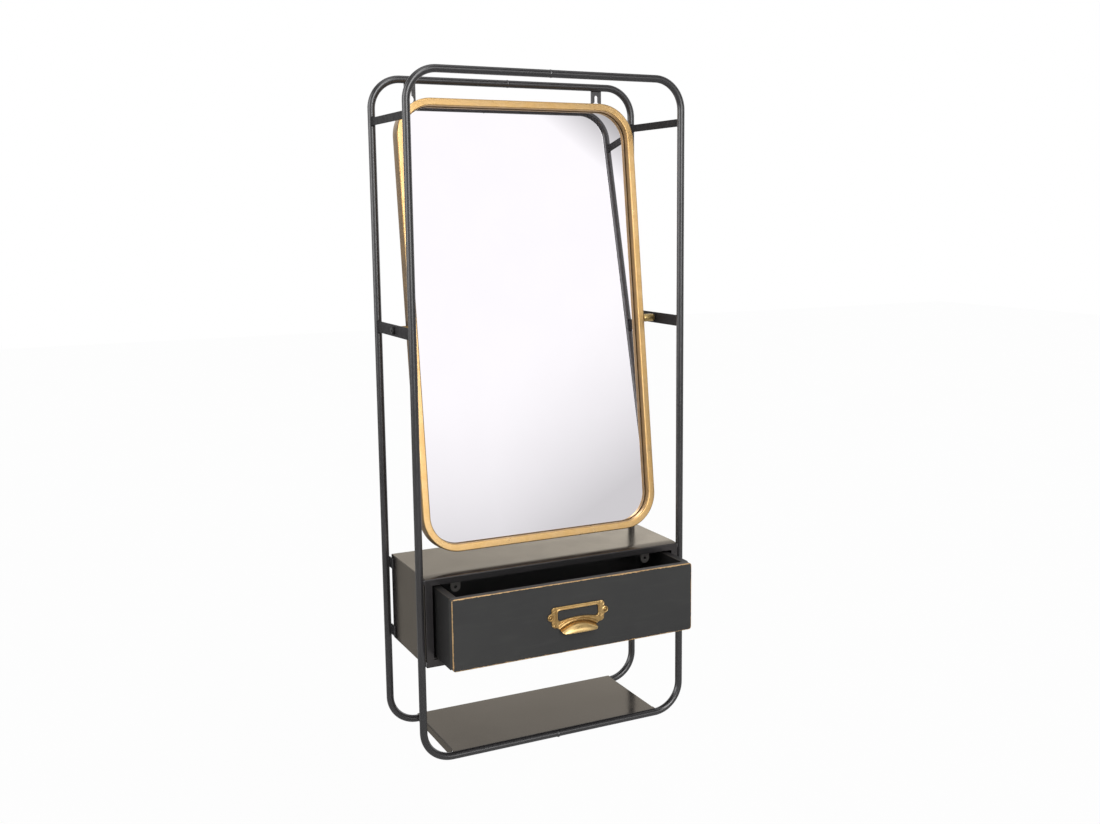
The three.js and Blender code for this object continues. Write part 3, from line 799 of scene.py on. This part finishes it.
def leg_weld(z, height):
    """A bead between the cabinet's front corner and the leg, to the right."""
    x = (top_high.x + leg_x - tube_radius) / 2
    y = front_loop_y - 3.1 * MM
    rings = []
    for i in range(13):
        share = i / 6 - 1
        lump = 1.5 + 0.3 * noise.noise(Vector((5, i * 0.8, z * 900)))
        size = sqrt(max(0.02, 1 - share**4)) * lump * MM
        centre_z = z + share * height / 2
        rings.append([(x + 1.1 * u, y + v, centre_z) for u, v in circle((0, 0), size, 12)])
    return skin(rings)


shell_nodes = ("cabinet_top", "cabinet_bottom", "cabinet_side_left", "cabinet_side_right")
face_nodes = ("face_rail_top", "face_rail_bottom", "face_stile_left", "face_stile_right")
put("cabinet_shell", cabinet_shell(), lacquer, "frame", *shell_nodes, *face_nodes, **bent(1.2 * MM))
rear = block(*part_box("cabinet_back"), 0.3 * MM)
put("cabinet_rear", rear, lacquer, "frame", "cabinet_back", flat=True)
put_pair("leg_weld_top", leg_weld(top_high.z - 5 * MM, 7 * MM), tube_coat, "frame")
put_pair("leg_weld_bottom", leg_weld(base_low.z + 5 * MM, 7 * MM), tube_coat, "frame")

for level in ("top", "bottom"):
    tab = block(*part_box(f"spacer_tab_{level}_right"), 0.5 * MM)
    put_pair(f"rear_tab_{level}", tab, tube_coat, "frame", f"spacer_tab_{level}", flat=True)


def runner():
    """An angle with a rounded fold, along the inside of the cabinet's right side."""
    low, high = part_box("drawer_runner_right")
    sheet = 1.2 * MM
    outer, inner = 1.8 * MM, 0.6 * MM
    section = [(low.x, low.z + sheet), (low.x, low.z)]
    section += arc((high.x - outer, low.z + outer), outer, 270, 360, 4)
    section += [(high.x, high.z), (high.x - sheet, high.z)]
    section += arc((high.x - outer, low.z + outer), inner, 360, 270, 4)
    return skin([[(x, y, z) for x, z in section] for y in (low.y, high.y)])


put_pair("runner_angle", runner(), lacquer, "frame", "drawer_runner", flat=True)


def stop_lug():
    """A lug with a round end and a pierced hole."""
    centre, half = measured("stop_lug_right")
    round_z = half.x - half.z
    outline = [(half.x, half.z), (-half.x, half.z)] + arc((0, round_z), half.x, 180, 360, 16)
    return panel([outline, circle((0, round_z), 2 * MM)], 2 * half.y, 0.35 * MM, centre)


put_pair("lug", stop_lug(), lug_zinc, "frame", "stop_lug", flat=True)

# ---- Drawer ----

FRONT_COATS = ((0.036, 0.036, 0.036), (0.042, 0.042, 0.041))
# the box's boards: the front's charcoal painted darker, as painted shade inside the drawer and on its sides
SHADED_BOX_COATS = ((0.012, 0.012, 0.012), (0.017, 0.016, 0.016))
WARM_UNDERCOATS = ((0.52, 0.29, 0.12), (0.74, 0.52, 0.27))
GREY_UNDERCOATS = ((0.05, 0.045, 0.04), (0.10, 0.09, 0.075))
SCREW_HOLE = 1.6 * MM

front_low, front_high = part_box("drawer_front")
pull_back_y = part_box("drawer_pull")[1].y
screw, screw_half = measured("pull_screw_right")


def drawer_front():
    """The front board: rounded along its front edges, and square behind, against the sides."""
    centre, half = measured("drawer_front")
    ease = 1.0 * MM
    outline = rounded_rectangle(2 * half.x, 2 * half.z, 4 * MM, 6)
    holes = [circle((x, screw.z - centre.z), SCREW_HOLE, 16) for x in (-screw.x, screw.x)]
    place = centre + Vector((0, ease / 2, 0))
    shape = panel([outline, *holes], 2 * half.y + ease, ease, place, 3)
    cut = sliced(shape, front_high, clear_outer=True)
    open_edges = [e for e in cut if isinstance(e, bmesh.types.BMEdge)]
    bmesh.ops.triangle_fill(shape, edges=open_edges, use_beauty=True)
    return shape


front_box = (front_low, front_high + Vector((0, 1, 0)))  # the edges that meet the sides aren't rubbed
front_paint = rubbed_board("drawer_front", front_box, 1.1 * MM, FRONT_COATS, WARM_UNDERCOATS)
put("drawer_face", drawer_front(), front_paint, "drawer", "drawer_front", flat=True)
for node in ("drawer_side_left", "drawer_side_right", "drawer_back", "drawer_bottom"):
    low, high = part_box(node)
    # painted shade: the sides, back and bottom get darker coats than the front
    paint = rubbed_board(node, (low, high), 0.45 * MM, SHADED_BOX_COATS, GREY_UNDERCOATS)
    put(f"{node}_board", block(low, high, 0.5 * MM), paint, "drawer", node, flat=True)

# ---- Drawer pull, drawn in millimetres from the middle of its two screws ----

EAR = [
    (36.0, 13.1), (37.5, 11.7), (38.7, 9.8), (39.0, 8.0), (38.3, 6.5), (38.9, 5.3),
    (40.8, 4.7), (43.0, 3.5), (44.3, 1.3), (44.3, -1.3), (43.2, -3.4), (41.2, -4.8),
    (39.3, -5.6), (38.3, -7.1), (38.5, -9.0), (38.2, -11.1), (37.1, -13.0), (35.2, -14.5),
    (32.8, -15.0), (30.6, -15.4), (28.6, -16.6), (27.0, -18.4), (25.8, -20.4), (24.0, -22.3),
]
TIP_X = 44.5
PULL_SHEET = 1.6
PULL_PITCH = 0.55
ROUNDING = 0.7
WINDOW_HALF = 29.7
WINDOW_TOP = 8.1
WINDOW_FOOT = -6.4
WINDOW_ARCH = 3.2
WINDOW_CUT = 2.8
ARCH_RADIUS = 50.6
ARCH_TOP = -7.2
ARCH_HALF = 29
CUP_START = 3.2
CUP_FOOT = -22.3
CUP_HALF = 25
CUP_DEPTH = 10.7
SEAM_X = 32.4
SCROLL_X = 40.2
SCROLL_RADIUS = 3.5
EYE_RADIUS = 2.1
FANS = ((36.4, -9.5, 2.6), (36.2, 9.0, 2.4))


def between(t, p, q, r, s):
    """A value a share t of the way from q to r, on a smooth curve that comes from p and goes on to s."""
    bend = 2 * p - 5 * q + 4 * r - s
    twist = 3 * q - p - 3 * r + s
    return 0.5 * (2 * q + (r - p) * t + bend * t**2 + twist * t**3)


def smooth_line(points, steps):
    """A curve through points, with a few steps between each two."""
    ends = [points[0], *points, points[-1]]
    line = []
    for a, b, c, d in zip(ends, ends[1:], ends[2:], ends[3:]):
        for i in range(steps):
            line.append(tuple(between(i / steps, *four) for four in zip(a, b, c, d)))
    return [*line, points[-1]]


def resampled(outline):
    """The closed outline with points no more than the pitch apart."""
    points = []
    for (x0, z0), (x1, z1) in zip(outline, outline[1:] + outline[:1]):
        count = max(1, ceil(hypot(x1 - x0, z1 - z0) / PULL_PITCH))
        points += [(x0 + (x1 - x0) * i / count, z0 + (z1 - z0) * i / count) for i in range(count)]
    return points


def with_image(right):
    """A line of points, and its image on the left on the way back."""
    return right + [(-x, z) for x, z in reversed(right)]


def window_outline():
    """The card window: its corners are cut and its lower edge follows the arch."""
    lower = []
    for i in range(17):
        x = (i / 8 - 1) * (WINDOW_HALF - WINDOW_CUT)
        lower.append((x, WINDOW_FOOT + WINDOW_ARCH * (1 - (i / 8 - 1) ** 2)))
    right = [
        (WINDOW_HALF, WINDOW_FOOT + WINDOW_CUT),
        (WINDOW_HALF, WINDOW_TOP - WINDOW_CUT),
        (WINDOW_HALF - 0.8, WINDOW_TOP - 0.8),
        (WINDOW_HALF - WINDOW_CUT, WINDOW_TOP),
    ]
    return resampled(lower + with_image(right))


def distances(outline, points):
    """How far each point is from a closed outline."""
    start = np.array(outline)
    along = np.roll(start, -1, axis=0) - start
    square = np.maximum((along**2).sum(1), 1e-12)
    nearest = []
    for point in points:
        offset = point - start
        share = np.clip((offset * along).sum(1) / square, 0, 1)
        nearest.append(np.sqrt(((offset - share[:, None] * along) ** 2).sum(1).min()))
    return np.array(nearest)


def are_inside(outline, points):
    """Whether each point lies inside a closed outline."""
    x0, z0 = np.array(outline).T
    x1, z1 = np.roll(x0, -1), np.roll(z0, -1)
    inside = []
    for x, z in points:
        crosses = (z0 > z) != (z1 > z)
        slope = (x1 - x0) / np.where(z1 == z0, 1, z1 - z0)
        inside.append(np.count_nonzero(crosses & (x < x0 + slope * (z - z0))) % 2 == 1)
    return np.array(inside)


def ridge(offset, half_width):
    """A rounded ridge's height, 1 on its line and 0 beyond its half width."""
    share = min(1, abs(offset) / half_width)
    return (1 - share**2) ** 2


def pull_height(x, z, to_edge, to_window):
    """How far the pull's front stands out from the plane of its back, and the relief's value."""
    across = abs(x)
    inside_arch = ARCH_RADIUS - hypot(x, z - (ARCH_TOP - ARCH_RADIUS))
    under_window = 1 if across < ARCH_HALF else 0
    from_scroll = hypot(across - SCROLL_X, z)
    seam = ridge(across - SEAM_X, 0.8)
    scroll = ridge(from_scroll - SCROLL_RADIUS, 1.0)
    fan = sum(ridge(hypot(across - fx, z - fz) - radius, 0.8) for fx, fz, radius in FANS)
    line = ridge(inside_arch + 2.6, 0.9) * under_window
    arch = ridge(inside_arch - 0.4, 1.5) * under_window
    valley = ridge(inside_arch - 2.5, 1.5) if inside_arch > 0.4 else 0
    moat = ridge(inside_arch + 1.3, 0.8) * under_window
    height = PULL_SHEET + 0.75 * ridge(to_window - 1.2, 1.2)
    height += 0.5 * scroll + 0.3 * min(1, fan) + 0.35 * line + 1.1 * arch
    height -= 0.4 * seam + 0.5 * valley + 0.25 * moat
    if inside_arch > CUP_START:
        top_z = ARCH_TOP - ARCH_RADIUS + sqrt((ARCH_RADIUS - CUP_START) ** 2 - x**2)
        share = min(1, (top_z - z) / (top_z - CUP_FOOT))
        swell = CUP_DEPTH * (1 - 0.22 * (across / CUP_HALF) ** 4)
        height += swell * sqrt(max(0, 1 - (1 - share) ** 2.2))
    if to_edge < ROUNDING:
        height -= ROUNDING - sqrt(ROUNDING**2 - (ROUNDING - to_edge) ** 2)
    eye = ridge(from_scroll - EYE_RADIUS, 0.9)
    browned = min(1, 0.6 * seam + 0.9 * valley + 0.6 * moat + 0.7 * eye)
    # crest: wear where the cup and arch stand out, and a painted highlight there
    crest = min(1, max(0, 1.5 * (height - PULL_SHEET) / CUP_DEPTH) + 0.3 * arch)
    return height, crest - browned


def pull_pattern():
    """The pull laid flat: points, how far each is from an edge and from the window, and triangles."""
    outside = resampled(with_image(smooth_line(EAR, 4)))
    window = window_outline()

    def on_sheet(points):
        return are_inside(outside, points) & ~are_inside(window, points)

    rows = ceil((EAR[0][1] - CUP_FOOT) / PULL_PITCH)
    columns = ceil(2 * TIP_X / PULL_PITCH)
    row, column = np.mgrid[: rows + 1, : columns + 1].reshape(2, -1)
    grid = np.stack((-TIP_X + (column + 0.5 * (row % 2)) * PULL_PITCH, CUP_FOOT + row * PULL_PITCH), 1)
    grid = grid[on_sheet(grid)]
    free = 0.35 * PULL_PITCH
    grid = grid[(distances(outside, grid) > free) & (distances(window, grid) > free)]
    points = [Vector(p) for p in (*outside, *window, *grid)]
    border = []
    for first, count in ((0, len(outside)), (len(outside), len(window))):
        border += [(first + i, first + (i + 1) % count) for i in range(count)]
    flat, _, triangles, *_ = geometry.delaunay_2d_cdt(points, border, [], 0, 1e-5)
    flat = np.array([tuple(p) for p in flat])
    kept = on_sheet(np.array([flat[list(triangle)].mean(0) for triangle in triangles]))
    to_window = distances(window, flat)
    to_edge = np.minimum(distances(outside, flat), to_window)
    return flat, to_edge, to_window, [t for t, keep in zip(triangles, kept) if keep]


def pull_relief():
    """The stamped pull as one sheet: a shaped front and the same surface behind it."""
    flat, to_edge, to_window, triangles = pull_pattern()
    shape = bmesh.new()
    relief = shape.verts.layers.float.new(RELIEF)
    front, back = [], []
    for (x, z), edge, inner in zip(flat, to_edge, to_window):
        height, crest = pull_height(x, z, edge, inner)
        unrounded, _ = pull_height(x, z, 2 * PULL_SHEET, inner)
        behind = min(unrounded - PULL_SHEET, height - 0.5)
        front.append(shape.verts.new((x * MM, -height * MM, z * MM)))
        front[-1][relief] = crest
        back.append(shape.verts.new((x * MM, -max(0.0, behind) * MM, z * MM)))
    for triangle in triangles:
        shape.faces.new([front[i] for i in triangle])
        shape.faces.new([back[i] for i in reversed(triangle)])
    twin = dict(zip(front, back))
    for a, b in [e.verts for e in shape.edges if e.is_boundary and e.verts[0] in twin]:
        shape.faces.new((a, b, twin[b], twin[a]))
    loose = [v for v in shape.verts if not v.link_faces]
    bmesh.ops.delete(shape, geom=loose, context="VERTS")
    return shape


SHANK_RADIUS = 1.3 * MM
SCREW_RISE = 1.5 * MM


def pull_screw():
    """A domed screw head with a cross recess, drawn along X with its tip at the start."""
    radius = screw_half.x
    tip = -screw.y - screw_half.y
    seat = -screw.y + screw_half.y - PULL_SHEET * MM
    profile = [(tip, 1.1 * MM), (tip, SHANK_RADIUS), (seat, SHANK_RADIUS), (seat, radius)]
    profile += [(seat + SCREW_RISE * sin(radians(a)), radius * cos(radians(a))) for a in (14, 28, 42, 56)]
    top = profile[-1][0]
    recess = [(top + rise * MM, cross(scale)) for rise, scale in ((0.2, 1.0), (-0.2, 0.85), (-0.8, 0.5))]
    place = Matrix.Translation((screw.x, 0, screw.z))
    return moved(turned(profile, recess), Matrix.Rotation(-pi / 2, 4, "Z"), place)


pull_place = Matrix.Translation((0, pull_back_y, screw.z))
put("pull_stamping", pull_relief(), pull_gold, "drawer", "drawer_pull", place=pull_place)
put_pair("pull_screw_head", pull_screw(), screw_gold, "drawer", "pull_screw")

# ---- Mirror, drawn upright with its pivot axis along X through the origin ----

hinge = next(joint for joint in frame["joints"] if joint["name"] == "mirror_tilt")
pivot = Vector(hinge["pos_m"])
TILT = radians(7)
tilted = Matrix.Translation(pivot) @ Matrix.Rotation(-TILT, 4, "X")

RIM_HALF = Vector((175 * MM, 0, 300 * MM))
RIM_RISE = 2.3 * MM
RIM_FACE = 10 * MM
RIM_DEPTH = 20 * MM
RIM_FRONT = -5 * MM
RIM_CORNER = 50 * MM
RIM_EDGE = 1.6 * MM
# how much brown is painted as shade on the walls of the rim's legs
RIM_PAINTED_SHADE = 0.75
PLAY = 0.3 * MM
GLASS_HALF = RIM_HALF - Vector((RIM_FACE + PLAY, 0, RIM_FACE + PLAY))
GLASS_CORNER = RIM_CORNER - RIM_FACE - PLAY
GLASS_RECESS = 10 * MM
GLASS_THICKNESS = 3 * MM
BOARD_RECESS = GLASS_RECESS + GLASS_THICKNESS + PLAY
BOARD_THICKNESS = 3 * MM


def rim():
    """The rim's tube, swept round its rounded rectangle. Brown is painted on the walls of its legs as shade.
    """
    flat_half = RIM_FACE / 2 - RIM_EDGE
    radius = RIM_CORNER - RIM_FACE / 2
    section = rounded_rectangle(RIM_FACE, RIM_DEPTH, RIM_EDGE, 5)
    y = RIM_FRONT + RIM_DEPTH / 2
    rings = []
    painted_shade = []
    for x, z, start in corners(RIM_HALF.x - RIM_CORNER, RIM_HALF.z - RIM_CORNER):
        for across, up in arc((0, 0), 1, start, start + 90, BEND_STEPS):
            line = (x + radius * across, y, RIM_RISE + z + radius * up)
            rings.append(sweep_ring(section, *line, across, up))
            # painted shade: the inner and outer walls of the legs get a brown share, but not those of the top
            # and bottom
            brown = RIM_PAINTED_SHADE * abs(across)
            painted_shade += [-brown * max(0, abs(u) - flat_half) / RIM_EDGE for u, _ in section]
    shape = skin(rings, closed=True)
    relief = shape.verts.layers.float.new(RELIEF)
    for v, value in zip(shape.verts, painted_shade):
        v[relief] = value
    return shape


def filling(depth, thickness, edge):
    """A sheet that fills the rim, behind its front by a given depth."""
    outline = rounded_rectangle(2 * GLASS_HALF.x, 2 * GLASS_HALF.z, GLASS_CORNER, 16)
    return panel([outline], thickness, edge, (0, RIM_FRONT + depth + thickness / 2, 0))


put("rim_tube", rim(), rim_gold, "mirror", "mirror_rim", place=tilted, flat=True)
silver = silvering(GLASS_HALF.x, GLASS_HALF.z, GLASS_CORNER)
raised = tilted @ Matrix.Translation((0, 0, RIM_RISE))
glass = filling(GLASS_RECESS, GLASS_THICKNESS, 0.25 * MM)
put("glass_pane", glass, silver, "mirror", "mirror_glass", place=raised, flat=True)
backing = moved(filling(BOARD_RECESS, BOARD_THICKNESS, 0.3 * MM), Matrix.Translation((0, 0, RIM_RISE)))
put("backing_board", backing, board, "mirror", "mirror_backboard", place=tilted, flat=True)

TAB_Y = RIM_FRONT + BOARD_RECESS + BOARD_THICKNESS + PLAY
TAB_WIDTH = 20 * MM
TAB_REACH = 14 * MM
TAB_SHEET = 1.5 * MM
TAB_INSET = 120 * MM


def hold_tab(centre_x, centre_z, width, height):
    """A clip with round corners, flat against the board."""
    outline = rounded_rectangle(width, height, 3 * MM, 5)
    return panel([outline], TAB_SHEET, 0.3 * MM, (centre_x, TAB_Y + TAB_SHEET / 2, centre_z))


tab_x = GLASS_HALF.x - TAB_REACH / 2
for level, sign in (("upper", 1), ("lower", -1)):
    tab_z = RIM_RISE + sign * (GLASS_HALF.z - TAB_INSET)
    clip = hold_tab(tab_x, tab_z, TAB_REACH, TAB_WIDTH)
    put_pair(f"clip_{level}", clip, oxide, "mirror", f"hold_tab_{level}", place=tilted, flat=True)
for level, sign in (("top", 1), ("bottom", -1)):
    clip = hold_tab(0, RIM_RISE + sign * (GLASS_HALF.z - TAB_REACH / 2), TAB_WIDTH, TAB_REACH)
    put(f"clip_{level}", clip, oxide, "mirror", f"hold_tab_{level}", place=tilted, flat=True)

# ---- Pivots ----

SPACER = (175.3 * MM, 191.9 * MM, 5.5 * MM)
WASHER = (192.2 * MM, 193.2 * MM, 6.5 * MM)
BOLT_HEAD = (196.8 * MM, 199.6 * MM, 5.2 * MM)
BOLT_TIP = 167 * MM
BOLT_EDGE = 0.9 * MM
BOLT_SHANK = 2.5 * MM
SOCKET_HALF = 1.7 * MM


def collar(start, end, radius, edge):
    """A bored ring along X with eased edges."""
    eased_edge = [(0, BORE), (0, radius - edge), (0.3 * edge, radius - 0.3 * edge), (edge, radius)]
    profile = [(start + x, r) for x, r in eased_edge] + [(end - x, r) for x, r in reversed(eased_edge)]
    return turned(profile, closed=True)


def socket_bolt():
    """A low round-edged bolt head with a hexagon socket, and its shank."""
    start, end, radius = BOLT_HEAD
    profile = [(BOLT_TIP, 1.9 * MM), (BOLT_TIP + 0.6 * MM, BOLT_SHANK), (start, BOLT_SHANK)]
    profile += [(start, radius - 0.2 * MM), (start + 0.2 * MM, radius)]
    for angle in (0, 0.4, 0.8, 1.2, pi / 2):
        along = end - BOLT_EDGE + BOLT_EDGE * sin(angle)
        profile.append((along, radius - BOLT_EDGE + BOLT_EDGE * cos(angle)))
    inside = hexagon(SOCKET_HALF)
    mouth = hexagon(SOCKET_HALF + 0.15 * MM)
    return turned(profile, [(end, mouth), (end - 0.15 * MM, inside), (end - 1.4 * MM, inside)])


put_pair("spacer", collar(*SPACER, 0.5 * MM), spacer_brass, "mirror", "pivot_spacer", place=tilted)
put_pair("washer", collar(*WASHER, 0.2 * MM), oxide, "mirror", "pivot_washer", place=tilted)
put_pair("bolt", socket_bolt(), oxide, "mirror", "pivot_bolt", place=tilted)

# ---- Floor ----

FLOOR_DROP = 0.6
FLOOR_HALF = 12.0
FLOOR_GLOW = 0.95
DIM_BOUNCED = 0.28
DIM_DULL = 0.30


def floor_finish():
    """A pale floor that gives nearly white light, and less of it to what reflects it."""
    look = Finish("pale_floor", None)
    tone = look.mix(look.spread(look.noise(3, 3)), (0.80, 0.80, 0.80), (0.84, 0.84, 0.84))
    lit = look.add("BsdfDiffuse", {"Color": tone})
    path = look.add("LightPath").outputs
    bounced = look.bounced(path)
    dull = look.product(bounced, look.minus(1.0, path["Is Singular Ray"]))
    level = look.minus(1.0, look.product(bounced, DIM_BOUNCED))
    level = look.minus(level, look.product(dull, DIM_DULL))
    white = look.add("Emission", {"Color": (1.0, 1.0, 1.0), "Strength": level})
    share = look.product(look.math("MAXIMUM", path["Is Camera Ray"], bounced), FLOOR_GLOW)
    both = look.add("MixShader", {0: share, 1: lit.outputs[0], 2: white.outputs[0]})
    look.add("OutputMaterial", {"Surface": both.outputs[0]})
    return look


def add_floor():
    """A plain floor well below the part, which hangs on a wall."""
    mesh = bpy.data.meshes.new("floor")
    z = cad_box[0].z - FLOOR_DROP
    points = [(x, y, z) for x, y, _ in corners(FLOOR_HALF, FLOOR_HALF)]
    mesh.from_pydata(points, [], [(0, 1, 2, 3)])
    mesh.materials.append(floor_finish().material)
    floor = bpy.data.objects.new("floor", mesh)
    scene.collection.objects.link(floor)


add_floor()

# ---- Light: a white studio, laid out by direction in degrees ----

# each box's middle, half width and side, its bottom, top and end, and its level
LIT_BOXES = ((0, 11, 5, -8, 58, 9, 4.4), (92, 10, 6, -10, 50, 6, 1.2))
GLOSS_BOXES = ((-86, 17, 8, -8, 40, 9, 3.0), (148, 8, 8, 8, 17, 3, 0.8))
PANEL = (9, 21, 4, 6.5, 20, 3, 1.4)
BASE_LEVEL = 0.4
SIDE_AZIMUTH = 22


class Studio(Graph):
    """The world's light, by azimuth from straight in front and by elevation."""

    def __init__(self, tree):
        super().__init__(tree)
        self.path = self.add("LightPath").outputs
        x, y, z = self.axes(self.add("TexCoord").outputs["Generated"])
        turn = self.math("ARCTAN2", x, self.product(y, -1.0))
        self.azimuth = self.product(turn, 180 / pi)
        self.elevation = self.product(self.math("ARCSINE", z), 180 / pi)
        self.diagonal = self.total(self.azimuth, self.elevation)
        self.beside = self.math("MAXIMUM", self.minus(self.azimuth, SIDE_AZIMUTH), 0.0)
        self.behind = self.fade(y, -0.05, 0.25)

    def soft_box(self, middle, half_width, side, bottom, top, end, level):
        """A lit patch whose sides and ends fade out over twice side and end."""
        off = self.math("ABSOLUTE", self.minus(self.azimuth, middle))
        across = self.fade(off, half_width + side, half_width - side)
        rising = self.fade(self.elevation, bottom - end, bottom + end)
        falling = self.fade(self.elevation, top + end, top - end)
        return self.product(across, self.product(rising, falling), level)

    def rough_front(self, corner):
        """What rough gloss shows in front: a slope of light, and a panel that ends on a diagonal."""
        slope = self.total(0.868, self.product(self.elevation, 0.0455))
        slope = self.minus(slope, self.product(self.beside, 0.024))
        front = self.math("MINIMUM", self.math("MAXIMUM", slope, 0.30), 1.1)
        front = self.product(front, self.fade(self.elevation, 19, 30, 1.0, 0.36))
        bright = self.product(self.soft_box(*PANEL), self.fade(self.diagonal, 41.5, 43.3, 1.0, 0.0))
        return self.total(self.product(front, corner), bright)

    def mirrored_front(self, corner):
        """What the mirror shows in front: white that darkens smoothly downwards and to the right."""
        height = self.minus(self.elevation, self.product(self.beside, 0.565))
        drop = self.math("MAXIMUM", self.minus(5.8, height), 0.0)
        shade = self.product(self.math("POWER", drop, 2.0), 0.0044)
        white = self.math("MAXIMUM", self.minus(1.037, shade), 0.64)
        return self.product(white, self.math("MAXIMUM", corner, self.fade(self.diagonal, 48, 62)))

    def gloss_level(self):
        """What only glossy surfaces show."""
        corner = self.fade(self.diagonal, 43, 46, 1.0, 0.4, kind="LINEAR")
        fronts = self.rough_front(corner), self.mirrored_front(corner)
        front = self.blend(self.path["Is Singular Ray"], *fronts)
        backdrop = self.fade(self.elevation, 24, 40, 1.0, 0.3)
        strips = [self.soft_box(*strip) for strip in GLOSS_BOXES]
        return self.total(self.blend(self.behind, front, backdrop), *strips)

    def level(self):
        """How bright the world is. The camera sees plain white."""
        boxes = self.total(self.fade(self.elevation, 50, 75), *(self.soft_box(*lit) for lit in LIT_BOXES))
        level = self.blend(self.bounced(self.path), BASE_LEVEL, self.gloss_level())
        return self.blend(self.path["Is Camera Ray"], self.total(level, boxes), 1.0)


def add_world():
    world = bpy.data.worlds.new("studio")
    world.use_nodes = True
    scene.world = world
    studio = Studio(world.node_tree)
    light = studio.add("Background", {"Color": (1.0, 1.0, 1.0), "Strength": studio.level()})
    studio.add("OutputWorld", {"Surface": light.outputs[0]})


add_world()
